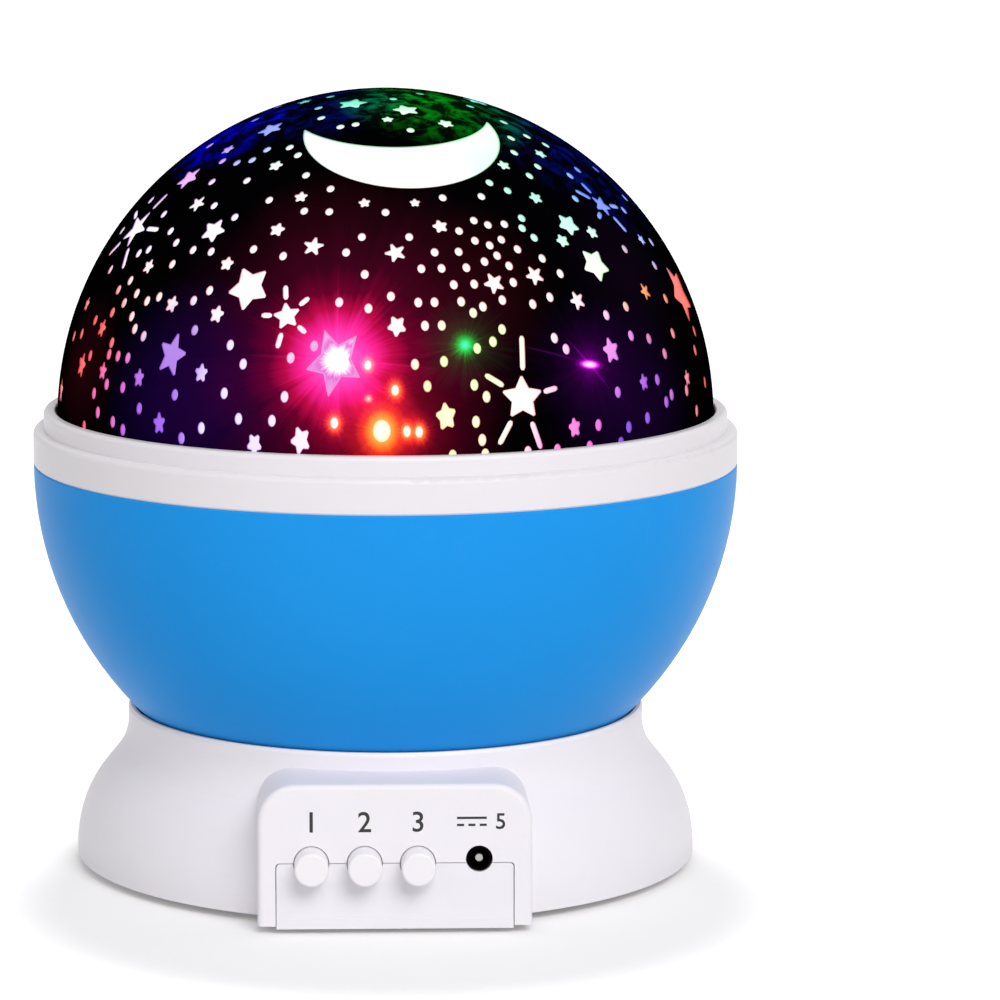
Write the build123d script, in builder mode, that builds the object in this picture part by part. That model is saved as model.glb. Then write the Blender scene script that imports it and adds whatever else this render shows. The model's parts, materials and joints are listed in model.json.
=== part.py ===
from build123d import *
import os
from math import acos, asin, atan, cos, degrees, pi, radians, sin, sqrt, tan

# Rotating star night light. A fixed base holds the cells, the control board and a tower with
# the lamps and the motor. The bowl, its rim ring and the star dome turn round the tower.
# Millimetres, +Z up, origin on the floor under the middle. The control panel faces -Y.

os.makedirs("parts", exist_ok=True)

# ---- fits and gaps
running_gap = 0.10          # radial play of the bowl on its journal
axle_gap = 0.05             # radial play of gears and shafts
press_gap = 0.01            # radial gap of a pressed pin
seat_gap = 0.05             # skin or board in its seat
slip_gap = 0.30             # between parts that pass each other
seam_gap = 0.15             # visible joint between two mouldings
end_play = 0.40             # axial play of the bowl and the gears

# ---- base housing
foot_height = 1.0
plate_thickness = 1.8
shell_lift = 0.5            # the housing's edge stands this far above the plate's underside
base_radius = 57.6
skirt_height = 1.5          # upright part of the skirt
flare_length = 3.75         # straight slope between the shoulder and the throat
shoulder_share = 0.68       # of the two rounds together, the part that is the shoulder's
neck_straight = 2.9         # upright part under the neck's rim
neck_height = 28.4          # plate underside to the top of the neck
neck_lip = 0.93             # flat rim round the neck's mouth
shell_wall = 1.8
edge_round = 0.6
deck_drop = 3.9             # top of the neck down to the top of the deck
deck_thickness = 2.2
journal_wall = 2.0
tower_boss_radius = 3.0
tower_boss_overlap = 0.2    # how far the bosses grow into the journal's wall
tower_boss_angles = (90, 210, 330)
plate_screw_inset = 9.8     # inside of the skirt to the screws
plate_screw_angles = (45, 135, 225, 315)
plate_boss_radius = 3.2

# ---- control panel
panel_half_width = 24.0
panel_rise = 0.8            # top of the deck up to the panel's top
panel_proud = 3.0           # skirt to the panel's face at the plate's underside
panel_draft = 3.9
panel_corner = 6.8
panel_edge_round = 1.0
panel_wall = 1.9
tongue_margin = 3.3         # panel's side to the tongue's side
tongue_height = 11.45       # plate underside to the tongue's top, the buttons' centre line
tongue_inset = 0.25
tongue_corner = 0.7
button_count = 3
button_margin = 6.1         # tongue's side to the first button's axis
button_pitch = 9.3
button_radius = 3.0
button_proud = 4.9
button_edge = 0.5
button_travel = 2.0
button_flange = 0.85        # retaining flange, beyond the button's radius
flange_thickness = 1.1
plunger_radius = 1.5
plunger_engagement = 3.8    # plunger length inside the button
switch_size = 7.0
switch_depth = 5.5
switch_bore_depth = 4.4
jack_margin = 6.0           # tongue's other side to the inlet's axis
jack_height = 12.2          # plate underside to the inlet's axis
jack_radius = 2.2
jack_bore = 1.8
jack_bore_depth = 8.0
jack_pin_radius = 0.65
jack_pin_length = 7.6
jack_recess = 0.6
jack_width = 9.0
jack_block_height = 7.2
board_margin = 2.1          # panel's inside to the control board's end
board_headroom = 1.3        # control board's top to the deck
board_thickness = 1.6
board_ledge = 1.2           # ledge under the control board's edge
board_rib_width = 5.0
board_rib_height = 10.2     # rib behind the control board, above the plate

# ---- cells and battery tray
cell_radius = 5.25
cell_length = 44.5
cell_nub_radius = 2.7
cell_nub = 1.0
cell_gap = 0.5
cell_count = 4
cell_lift = 0.7             # plate top to the cells
tray_centre = 4.0           # Y of the tray's middle
tray_wall = 1.4
tray_side_gap = 0.3
contact_space = 3.2
contact_thickness = 0.4
leaf_thickness = 0.6
contact_width = 8.0
contact_height = 6.0
cell_edge = 0.4
ridge_margin = 4.5          # cell's end to the end of the ridge beside it
ridge_depth = 2.6
hinge_pin_radius = 0.55
hinge_pin_length = 1.6      # beyond the door's side
latch_width = 6.0
grip_length = 12.0
grip_width = 3.0
grip_depth = 0.7
grip_margin = 4.5           # door's free end to the middle of its grip

# ---- feet and screws
foot_radius = 5.0
foot_margin = 2.0           # foot to the plate's edge
foot_angles = (60, 120, 205, 335)
foot_recess = 0.3
screw_radius = 1.1
screw_hole = 1.3
screw_head_radius = 2.3
screw_head_height = 1.0
screw_head_round = 0.35
recess_length = 2.7         # cross recess in the screw heads
recess_width = 0.65
recess_depth = 0.6
screw_length = 8.0
ring_screw_length = 3.8
tower_screw_length = 5.5

# ---- bowl, rim ring and dome
washer_thickness = 1.0
washer_width = 5.7
bowl_radius = 65.0
bowl_wall = 2.0
bowl_floor = 2.3
seam_chamfer = 0.3
ring_wall_height = 6.4
ring_height = 9.9
ring_lip_inset = 1.9        # bowl's outside to the raised lip's outside
ring_shoulder_round = 1.0
ring_lip_round = 0.9
ring_skirt_depth = 4.0
ring_skirt_wall = 1.6
dome_inset = 4.45           # bowl's outside to the black skin's outside
dome_rise = 7.9             # bowl rim to the dome's centre
dome_wall = 1.2
skin_thickness = 0.35
dome_ledge = 2.6            # bowl rim to the ledge that carries the dome
ledge_thickness = 1.6
skin_skirt = 2.2            # black skin below the dome's centre

# ---- gear drive
ring_module = 1.0
ring_teeth = 64
drive_pinion_teeth = 14
second_module = 0.6
drive_wheel_teeth = 40
compound_pinion_teeth = 10
first_module = 0.5
compound_wheel_teeth = 50
motor_pinion_teeth = 10
pressure_angle = 20.0
tooth_slack = 0.10          # thinning of each tooth for backlash, in modules
tooth_root = 1.25           # pitch circle to the tooth roots, in modules
ring_gear_height = 7.2
ring_gear_wall = 3.75       # from the tooth roots to the outside
ring_flange_width = 5.0
ring_flange_thickness = 2.0
floor_margin = 1.6          # ring gear's flange to where the bowl's round begins
ring_screw_angles = (45, 135, 225, 315)
gear_face = 2.5
layer_gap = 1.0             # between one gear level and the next
axle_radius = 1.0
compound_direction = 120.0  # from the drive axle to the compound axle
motor_direction = 165.0     # from the compound axle to the motor
hub_radius = 3.0

# ---- lamp tower, gear cover and motor
flange_overhang = 1.9       # tower flange beyond the journal, holds the bowl down
flange_clearance = 1.1      # tower flange to the ring gear's teeth
flange_height = 1.8
column_radius = 6.0
column_wall = 1.6
tower_height = 49.4         # journal top to the lamp board's seat
cup_radius = 12.0
cup_floor = 1.6
cup_rim = 1.0
cup_rim_height = 1.8
cup_flare = 5.0
post_radius = 2.6
post_places = ((-15.0, -5.0), (-10.0, 14.0), (8.0, -20.0))
cover_thickness = 2.0
cover_margin = 3.4
motor_radius = 7.75
motor_length = 18.0
motor_boss_radius = 3.0
motor_cap_height = 1.5
collar_wall = 1.4
collar_height = 4.0
motor_shaft_depth = 13.5
lamp_radius = 2.5
lamp_height = 5.2
lamp_rim = 0.4
lamp_rim_height = 1.0
lamp_circle = 5.6
wire_radius = 1.5
wire_bend = 10.0

# ---- stations worked out from the sizes above
plate_bottom = foot_height
plate_top = plate_bottom + plate_thickness
shell_bottom = plate_bottom + shell_lift
neck_top = plate_bottom + neck_height
deck_top = neck_top - deck_drop
deck_bottom = deck_top - deck_thickness
ring_pitch_radius = ring_module * ring_teeth / 2
ring_gear_outer = ring_pitch_radius + tooth_root * ring_module + ring_gear_wall
ring_screw_circle = ring_gear_outer + screw_head_radius + slip_gap
journal_radius = ring_pitch_radius - ring_module - flange_clearance - flange_overhang
journal_bore = journal_radius - journal_wall
bowl_flat_radius = ring_gear_outer + ring_flange_width + floor_margin
bowl_depth = sqrt(bowl_radius ** 2 - bowl_flat_radius ** 2)
bowl_bottom = deck_top + washer_thickness
bowl_floor_top = bowl_bottom + bowl_floor
bowl_rim = bowl_bottom + bowl_depth
journal_top = bowl_floor_top + end_play
flange_top = journal_top + flange_height
pinion_bottom = flange_top + end_play
pinion_top = bowl_floor_top + ring_gear_height
wheel_bottom = pinion_top + layer_gap
wheel_top = wheel_bottom + gear_face
first_bottom = wheel_top + layer_gap
first_top = first_bottom + gear_face
cover_bottom = first_top + layer_gap
cover_top = cover_bottom + cover_thickness
cup_seat = journal_top + tower_height
lamp_board_top = cup_seat + board_thickness
ring_top = bowl_rim + ring_height
dome_centre = bowl_rim + dome_rise
dome_seat = bowl_rim + dome_ledge
dome_radius = bowl_radius - dome_inset
dome_outer = dome_radius - skin_thickness - seat_gap
dome_inner = dome_outer - dome_wall
panel_top = deck_top + panel_rise
panel_reach = base_radius + panel_proud
button_axis = plate_bottom + tongue_height
jack_axis = plate_bottom + jack_height
tongue_half_width = panel_half_width - tongue_margin
button_places = [button_margin - tongue_half_width + i * button_pitch for i in range(button_count)]
jack_place = tongue_half_width - jack_margin
neck_mouth = sqrt(bowl_radius ** 2 - (bowl_rim - neck_top) ** 2) + end_play
neck_radius = neck_mouth + neck_lip
tower_boss_circle = journal_bore - tower_boss_radius + tower_boss_overlap
plate_screw_circle = base_radius - shell_wall - plate_screw_inset
plate_radius = base_radius - shell_wall - slip_gap
foot_circle = plate_radius - foot_margin - foot_radius


def on_circle(radius, angles):
    """Points on a circle about the Z axis."""
    return [(radius * cos(radians(a)), radius * sin(radians(a))) for a in angles]


def cross_recesses():
    """Draws the cross recess of a screw head at every location."""
    Rectangle(recess_length, recess_width)
    Rectangle(recess_width, recess_length)


def panel_face(height, inset=0.0):
    """Y of the leaning panel face at a height, set back by inset."""
    return -(panel_reach - inset - tan(radians(panel_draft)) * (height - plate_bottom))


def in_front_of_panel(inset=0.0):
    """Side view corners of everything in front of the panel face."""
    low = plate_bottom - foot_height
    high = panel_top + panel_corner
    far = -panel_reach - panel_corner
    return [(panel_face(low, inset), low), (panel_face(high, inset), high), (far, high), (far, low)]


# ======== base housing ========
# the shoulder, the slope and the throat meet smoothly between the skirt and the neck
skirt_top = shell_bottom + skirt_height
throat_top = neck_top - neck_straight
lean = 2 * atan((base_radius - neck_radius) / (throat_top - skirt_top + flare_length))
both_rounds = (base_radius - neck_radius - flare_length * sin(lean)) / (1 - cos(lean))
shoulder_round = shoulder_share * both_rounds
throat_round = both_rounds - shoulder_round
cavity_face = panel_face(button_axis) + panel_wall
panel_root = neck_radius - shell_wall - panel_corner      # where the panel starts inside the base

def flare_lines(inset):
    """Draws the housing's side from the skirt to the neck, set in by a depth; gives its two ends."""
    middle = (base_radius - shoulder_round, skirt_top)
    skirt = Line((base_radius - inset, shell_bottom), (base_radius - inset, skirt_top))
    shoulder = CenterArc(middle, shoulder_round - inset, 0, degrees(lean))
    throat = CenterArc((neck_radius + throat_round, throat_top), throat_round + inset,
                       180 + degrees(lean), -degrees(lean))
    Line(shoulder @ 1, throat @ 0)
    return skirt @ 0, throat @ 1


with BuildPart() as plate_bosses:
    with BuildSketch(Plane.XY.offset(plate_top)):
        with Locations(*on_circle(plate_screw_circle, plate_screw_angles)):
            Circle(plate_boss_radius)
    extrude(amount=throat_top - plate_top)
    # the bosses end inside the housing's wall
    with BuildSketch(Plane.XZ):
        with BuildLine():
            wall_low, wall_high = flare_lines(shell_wall / 2)
            Polyline(wall_high, (0, throat_top), (0, shell_bottom), wall_low)
        make_face()
    revolve(axis=Axis.Z, mode=Mode.INTERSECT)

with BuildPart() as base_shell:
    with BuildSketch(Plane.XZ):
        with BuildLine():
            outside_low, outside_high = flare_lines(0.0)
            inside_low, inside_high = flare_lines(shell_wall)
            Line(outside_low, inside_low)
            Polyline(
                outside_high,
                (neck_radius, neck_top - edge_round),
                (neck_radius - edge_round / 2, neck_top),
                (neck_mouth, neck_top),
                (neck_radius - shell_wall, neck_top - edge_round - end_play),
                inside_high,
            )
        make_face()
        # deck under the bowl and the journal that the bowl turns on
        Polygon(
            (neck_radius - shell_wall / 2, deck_bottom),
            (neck_radius - shell_wall / 2, deck_top),
            (journal_radius, deck_top),
            (journal_radius, journal_top),
            (journal_bore, journal_top),
            (journal_bore, deck_bottom),
        )
    revolve(axis=Axis.Z)
    # panel block, rounded at its upper corners
    with BuildSketch(Plane.XZ.offset(panel_root)):
        with Locations((0, (shell_bottom + panel_top) / 2)):
            Rectangle(2 * panel_half_width, panel_top - shell_bottom)
        fillet(vertices().group_by(Axis.Y)[-1], panel_corner)
    extrude(amount=panel_reach - panel_root)
    # the block's root must not stand inside the neck above the deck
    with BuildSketch(Plane.XY.offset(deck_top)):
        Circle(neck_radius - shell_wall)
        Circle(journal_radius, mode=Mode.SUBTRACT)
    extrude(amount=panel_top - deck_top, mode=Mode.SUBTRACT)
    with BuildSketch(Plane.YZ):
        Polygon(*in_front_of_panel())
    extrude(amount=panel_half_width + panel_corner, both=True, mode=Mode.SUBTRACT)
    front = faces().sort_by(Axis.Y)[0]
    rim_edges = [e for e in front.edges() if e.center().Z > shell_bottom + panel_edge_round]
    fillet(rim_edges, panel_edge_round)
    # room for the board, the switches and the inlet
    with BuildSketch(Plane.XZ.offset(panel_root)):
        with Locations((0, (shell_bottom - shell_lift + deck_bottom) / 2)):
            Rectangle(2 * (panel_half_width - panel_wall), deck_bottom - shell_bottom + shell_lift)
        fillet(vertices().group_by(Axis.Y)[-1], panel_corner - panel_wall)
    extrude(amount=-cavity_face - panel_root, mode=Mode.SUBTRACT)
    # slot for the plate's tongue, button holes and the inlet's hole
    with BuildSketch(Plane.XZ.offset(-cavity_face - panel_wall)):
        with Locations((0, (shell_bottom - panel_wall + button_axis + seam_gap) / 2)):
            Rectangle(2 * (tongue_half_width + seam_gap),
                      button_axis + seam_gap - shell_bottom + panel_wall)
        fillet(vertices().group_by(Axis.Y)[-1], tongue_corner)
        with Locations(*[(x, button_axis) for x in button_places]):
            Circle(button_radius + seam_gap)
        with Locations((jack_place, jack_axis)):
            Circle(jack_radius + seam_gap)
    extrude(amount=3 * panel_wall, mode=Mode.SUBTRACT)
    # bosses for the tower's screws, inside the journal
    with BuildSketch(Plane.XY.offset(deck_bottom)):
        with Locations(*on_circle(tower_boss_circle, tower_boss_angles)):
            Circle(tower_boss_radius)
    extrude(amount=journal_top - deck_bottom)
    with BuildSketch(Plane.XY.offset(deck_bottom)):
        with Locations(*on_circle(tower_boss_circle, tower_boss_angles)):
            Circle(screw_radius + press_gap)
    extrude(amount=journal_top - deck_bottom, mode=Mode.SUBTRACT)
    # bosses for the bottom plate's screws, under the shoulder
    add(plate_bosses.part)
    with BuildSketch(Plane.XY.offset(plate_top)):
        with Locations(*on_circle(plate_screw_circle, plate_screw_angles)):
            Circle(screw_radius + press_gap)
    extrude(amount=screw_length, mode=Mode.SUBTRACT)
base_shell.part.label = "base_shell"
export_step(base_shell.part, "parts/base_shell.step")


# ======== bottom plate with the panel's tongue ========
cell_pitch = 2 * cell_radius + cell_gap
tray_half_width = cell_count * cell_pitch / 2 + tray_side_gap
tray_half_length = cell_length / 2 + contact_space
hinge_line = tray_centre + tray_half_length - slip_gap - plate_thickness / 2
door_middle = plate_bottom + plate_thickness / 2
flange_front = cavity_face + slip_gap
flange_back = flange_front + flange_thickness
switch_front = flange_back + button_travel + end_play
board_front = switch_front + switch_depth
board_back = board_front + board_thickness
board_bottom = plate_top + board_ledge
board_height = deck_bottom - board_headroom - board_bottom
board_half_width = panel_half_width - panel_wall - board_margin
rib_places = (board_rib_width - board_half_width, board_half_width - board_rib_width)

with BuildPart() as base_plate:
    with BuildSketch(Plane.XZ.offset(-cavity_face)):
        with Locations((0, (plate_bottom + button_axis) / 2)):
            Rectangle(2 * tongue_half_width, button_axis - plate_bottom)
        fillet(vertices().group_by(Axis.Y)[-1], tongue_corner)
        with Locations(*[(x, button_axis) for x in button_places]):
            Circle(button_radius + seam_gap, mode=Mode.SUBTRACT)
        with Locations((jack_place, jack_axis)):
            Circle(jack_radius + seam_gap, mode=Mode.SUBTRACT)
    extrude(amount=2 * panel_wall)
    with BuildSketch(Plane.YZ):
        Polygon(*in_front_of_panel(tongue_inset))
    extrude(amount=panel_half_width, both=True, mode=Mode.SUBTRACT)
    # round plate with an apron under the panel, open under the cells
    with BuildSketch(Plane.XY.offset(plate_bottom)):
        Circle(plate_radius)
        with Locations((0, -panel_root + slip_gap - plate_radius / 2)):
            Rectangle(2 * (panel_half_width + slip_gap), plate_radius, mode=Mode.SUBTRACT)
        with Locations((0, -panel_reach / 2)):
            Rectangle(2 * tongue_half_width, panel_reach)
        with Locations((0, tray_centre)):
            Rectangle(2 * tray_half_width, 2 * tray_half_length, mode=Mode.SUBTRACT)
        with Locations(*on_circle(plate_screw_circle, plate_screw_angles)):
            Circle(screw_hole, mode=Mode.SUBTRACT)
    extrude(amount=plate_thickness)
    with BuildSketch(Plane.YZ):
        Polygon(*in_front_of_panel())
    extrude(amount=panel_half_width, both=True, mode=Mode.SUBTRACT)
    # recesses for the feet and the screw heads
    with BuildSketch(Plane.XY.offset(plate_bottom)):
        with Locations(*on_circle(foot_circle, foot_angles)):
            Circle(foot_radius)
    extrude(amount=foot_recess, mode=Mode.SUBTRACT)
    with BuildSketch(Plane.XY.offset(plate_bottom)):
        with Locations(*on_circle(plate_screw_circle, plate_screw_angles)):
            Circle(screw_head_radius + seam_gap)
    extrude(amount=screw_head_height, mode=Mode.SUBTRACT)
    # ledge under the control board and ribs behind it
    with BuildSketch(Plane.XY.offset(plate_top)):
        with Locations(*[(x, (board_front + board_back) / 2) for x in rib_places]):
            Rectangle(board_rib_width, board_thickness)
    extrude(amount=board_ledge)
    with BuildSketch(Plane.XY.offset(plate_top)):
        with Locations(*[(x, board_back + board_thickness / 2) for x in rib_places]):
            Rectangle(board_rib_width, board_thickness)
    extrude(amount=board_rib_height)
    # sockets for the battery door's hinge pins
    with BuildSketch(Plane.YZ.offset(-tray_half_width - hinge_pin_length)):
        with Locations((hinge_line, door_middle)):
            Circle(hinge_pin_radius + axle_gap)
    extrude(amount=2 * (tray_half_width + hinge_pin_length), mode=Mode.SUBTRACT)
base_plate.part.label = "base_plate"
export_step(base_plate.part, "parts/base_plate.step")

with BuildPart() as plate_screws:
    with BuildSketch(Plane.XY.offset(plate_bottom)):
        with Locations(*on_circle(plate_screw_circle, plate_screw_angles)):
            Circle(screw_head_radius)
    extrude(amount=screw_head_height)
    fillet(edges().group_by(Axis.Z)[0], screw_head_round)
    with BuildSketch(Plane.XY.offset(plate_bottom + screw_head_height)):
        with Locations(*on_circle(plate_screw_circle, plate_screw_angles)):
            Circle(screw_radius)
    extrude(amount=screw_length)
    with BuildSketch(Plane.XY.offset(plate_bottom)):
        with Locations(*on_circle(plate_screw_circle, plate_screw_angles)):
            cross_recesses()
    extrude(amount=recess_depth, mode=Mode.SUBTRACT)
plate_screws.part.label = "plate_screws"
export_step(plate_screws.part, "parts/plate_screws.step")

with BuildPart() as rubber_feet:
    with BuildSketch():
        with Locations(*on_circle(foot_circle, foot_angles)):
            Circle(foot_radius - seat_gap)
    extrude(amount=foot_height + foot_recess)
    chamfer(edges().group_by(Axis.Z)[0], foot_recess)
rubber_feet.part.label = "rubber_feet"
export_step(rubber_feet.part, "parts/rubber_feet.step")

# ======== battery tray, cells, contacts and door ========
cell_axis = plate_top + cell_lift + cell_radius
tray_roof = cell_axis + cell_radius + end_play
cell_places = [(i - (cell_count - 1) / 2) * cell_pitch for i in range(cell_count)]
tray_front = tray_centre - tray_half_length
tray_back = tray_centre + tray_half_length

with BuildPart() as battery_tray:
    with BuildSketch(Plane.XY.offset(plate_top)):
        with Locations((0, tray_centre)):
            Rectangle(2 * (tray_half_width + tray_wall), 2 * (tray_half_length + tray_wall))
        fillet(vertices(), tray_wall)
    extrude(amount=tray_roof + tray_wall - plate_top)
    with BuildSketch(Plane.XY.offset(plate_top)):
        with Locations((0, tray_centre)):
            Rectangle(2 * tray_half_width, 2 * tray_half_length)
    extrude(amount=tray_roof - plate_top, mode=Mode.SUBTRACT)
    # ridges under the roof, between neighbouring cells
    with BuildSketch(Plane.XY.offset(tray_roof)):
        with Locations(*[(x + cell_pitch / 2, tray_centre) for x in cell_places[:-1]]):
            Rectangle(tray_wall, cell_length - 2 * ridge_margin)
    extrude(amount=-ridge_depth)
battery_tray.part.label = "battery_tray"
export_step(battery_tray.part, "parts/battery_tray.step")

for number, place in enumerate(cell_places, 1):
    forward = 1 if number % 2 else -1       # the cells lie head to tail
    flat_end = tray_centre - forward * cell_length / 2
    nub_root = flat_end + forward * (cell_length - cell_nub)
    with BuildPart() as cell:
        with BuildSketch(Plane.XZ.offset(-flat_end)):
            with Locations((place, cell_axis)):
                Circle(cell_radius)
        extrude(amount=-forward * (cell_length - cell_nub))
        chamfer(edges().filter_by(GeomType.CIRCLE), cell_edge)
        with BuildSketch(Plane.XZ.offset(-nub_root)):
            with Locations((place, cell_axis)):
                Circle(cell_nub_radius)
        extrude(amount=-forward * cell_nub)
    cell.part.label = f"cell_{number}"
    export_step(cell.part, f"parts/cell_{number}.step")


def leaf_outline(place, wall, side):
    """Plan of one bowed contact leaf on its strip; side is +1 when it bows towards +Y."""
    root = wall + side * contact_thickness
    crown = wall + side * (contact_space - seat_gap)
    half = contact_width / 2 - contact_thickness
    return [(place - half, root), (place, crown), (place + half, root),
            (place + half - 2 * contact_thickness, root),
            (place, crown - side * leaf_thickness),
            (place - half + 2 * contact_thickness, root)]


# strips join neighbouring cells, so the four cells stand in series
for name, wall, side, groups in (("front_contacts", tray_front, 1, ((0, 0), (1, 2), (3, 3))),
                                 ("rear_contacts", tray_back, -1, ((0, 1), (2, 3)))):
    with BuildPart() as contacts:
        with BuildSketch(Plane.XY.offset(cell_axis - contact_height / 2)):
            for first, last in groups:
                middle = (cell_places[first] + cell_places[last]) / 2
                span = cell_places[last] - cell_places[first] + contact_width
                with Locations((middle, wall + side * contact_thickness / 2)):
                    Rectangle(span, contact_thickness)
            for place in cell_places:
                Polygon(*leaf_outline(place, wall, side))
        extrude(amount=contact_height)
    contacts.part.label = name
    export_step(contacts.part, f"parts/{name}.step")

door_front = tray_front + slip_gap
door_half_width = tray_half_width - slip_gap
with BuildPart() as battery_door:
    # flat door with a rounded edge along its hinge
    with BuildSketch(Plane.XY.offset(plate_bottom)):
        with Locations((0, (door_front + hinge_line) / 2)):
            Rectangle(2 * door_half_width, hinge_line - door_front)
        fillet(vertices().group_by(Axis.Y)[0], edge_round)
    extrude(amount=plate_thickness)
    with BuildSketch(Plane.YZ.offset(-door_half_width)):
        with Locations((hinge_line, door_middle)):
            Circle(plate_thickness / 2)
    extrude(amount=2 * door_half_width)
    with BuildSketch(Plane.YZ.offset(-door_half_width - hinge_pin_length)):
        with Locations((hinge_line, door_middle)):
            Circle(hinge_pin_radius)
    extrude(amount=2 * (door_half_width + hinge_pin_length))
    # finger groove under the free end, and the nub that wedges it shut
    with BuildSketch(Plane.XY.offset(plate_bottom)):
        with Locations((0, door_front + grip_margin)):
            SlotOverall(grip_length, grip_width)
    extrude(amount=grip_depth, mode=Mode.SUBTRACT)
    with BuildSketch(Plane.XZ.offset(-door_front)):
        with Locations((0, door_middle)):
            Rectangle(latch_width, plate_thickness / 2)
    extrude(amount=slip_gap - seat_gap)
battery_door.part.label = "battery_door"
export_step(battery_door.part, "parts/battery_door.step")

# ======== control board, switches, buttons and power inlet ========
with BuildPart() as control_board:
    with BuildSketch(Plane.XZ.offset(-board_front)):
        with Locations((0, board_bottom + board_height / 2)):
            Rectangle(2 * board_half_width, board_height)
    extrude(amount=-board_thickness)
control_board.part.label = "control_board"
export_step(control_board.part, "parts/control_board.step")

button_tip = panel_face(button_axis) - button_proud
plunger_tip = flange_back - plunger_engagement
for number, place in enumerate(button_places, 1):
    with BuildPart() as push_switch:
        with BuildSketch(Plane.XZ.offset(-board_front)):
            with Locations((place, button_axis)):
                Rectangle(switch_size, switch_size)
        extrude(amount=switch_depth)
        with BuildSketch(Plane.XZ.offset(-switch_front)):
            with Locations((place, button_axis)):
                Circle(plunger_radius + axle_gap)
        extrude(amount=-switch_bore_depth, mode=Mode.SUBTRACT)
    push_switch.part.label = f"push_switch_{number}"
    export_step(push_switch.part, f"parts/push_switch_{number}.step")

    with BuildPart() as plunger:
        with BuildSketch(Plane.XZ.offset(-plunger_tip)):
            with Locations((place, button_axis)):
                Circle(plunger_radius)
        extrude(amount=-(switch_front + switch_bore_depth - button_travel - end_play - plunger_tip))
    plunger.part.label = f"plunger_{number}"
    export_step(plunger.part, f"parts/plunger_{number}.step")

    with BuildPart() as button:
        with BuildSketch(Plane.XZ.offset(-flange_back)):
            with Locations((place, button_axis)):
                Circle(button_radius)
        extrude(amount=flange_back - button_tip)
        fillet(edges().sort_by(Axis.Y)[0], button_edge)
        with BuildSketch(Plane.XZ.offset(-flange_back)):
            with Locations((place, button_axis)):
                Circle(button_radius + button_flange)
        extrude(amount=flange_thickness)
        with BuildSketch(Plane.XZ.offset(-flange_back)):
            with Locations((place, button_axis)):
                Circle(plunger_radius + press_gap)
        extrude(amount=plunger_engagement + press_gap, mode=Mode.SUBTRACT)
    button.part.label = f"button_{number}"
    export_step(button.part, f"parts/button_{number}.step")

jack_front = panel_face(jack_axis) + jack_recess
jack_block_front = cavity_face + seat_gap
jack_bore_end = jack_front + jack_bore_depth
with BuildPart() as power_inlet:
    with BuildSketch(Plane.XZ.offset(-board_front)):
        with Locations((jack_place, jack_axis)):
            Rectangle(jack_width, jack_block_height)
    extrude(amount=board_front - jack_block_front)
    with BuildSketch(Plane.XZ.offset(-board_front)):
        with Locations((jack_place, jack_axis)):
            Circle(jack_radius)
    extrude(amount=board_front - jack_front)
    with BuildSketch(Plane.XZ.offset(-jack_bore_end)):
        with Locations((jack_place, jack_axis)):
            Circle(jack_bore)
    extrude(amount=2 * jack_bore_depth, mode=Mode.SUBTRACT)
power_inlet.part.label = "power_inlet"
export_step(power_inlet.part, "parts/power_inlet.step")

with BuildPart() as inlet_pin:
    with BuildSketch(Plane.XZ.offset(-jack_bore_end)):
        with Locations((jack_place, jack_axis)):
            Circle(jack_pin_radius)
    extrude(amount=jack_pin_length)
inlet_pin.part.label = "inlet_pin"
export_step(inlet_pin.part, "parts/inlet_pin.step")

# ======== turning head: bowl, rim ring, clear dome and black skin ========
with BuildPart() as slip_washer:
    with BuildSketch(Plane.XY.offset(deck_top)):
        Circle(journal_radius + slip_gap + washer_width)
        Circle(journal_radius + slip_gap, mode=Mode.SUBTRACT)
    extrude(amount=washer_thickness)
slip_washer.part.label = "slip_washer"
export_step(slip_washer.part, "parts/slip_washer.step")


def angle_at(radius, drop):
    """Angle in degrees, below the horizon, where a sphere reaches this drop."""
    return -degrees(asin(drop / radius))


bowl_bore = journal_radius + running_gap
bowl_inner = bowl_radius - bowl_wall
outer_start = angle_at(bowl_radius, bowl_depth)
inner_start = angle_at(bowl_inner, bowl_depth - bowl_floor)

with BuildPart() as bowl:
    with BuildSketch(Plane.XZ):
        with BuildLine():
            outer = CenterArc((0, bowl_rim), bowl_radius, outer_start,
                              angle_at(bowl_radius, seam_chamfer) - outer_start)
            inner = CenterArc((0, bowl_rim), bowl_inner, inner_start, -inner_start)
            under = Polyline(inner @ 0, (bowl_bore, bowl_floor_top), (bowl_bore, bowl_bottom), outer @ 0)
            edge = Polyline(outer @ 1, (bowl_radius - seam_chamfer, bowl_rim), inner @ 1)
        make_face()
    revolve(axis=Axis.Z)
    # blind holes for the ring gear's screws
    with BuildSketch(Plane.XY.offset(bowl_floor_top)):
        with Locations(*on_circle(ring_screw_circle, ring_screw_angles)):
            Circle(screw_radius + press_gap)
    extrude(amount=-(ring_screw_length - ring_flange_thickness), mode=Mode.SUBTRACT)
bowl.part.label = "bowl"
export_step(bowl.part, "parts/bowl.step")

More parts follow.
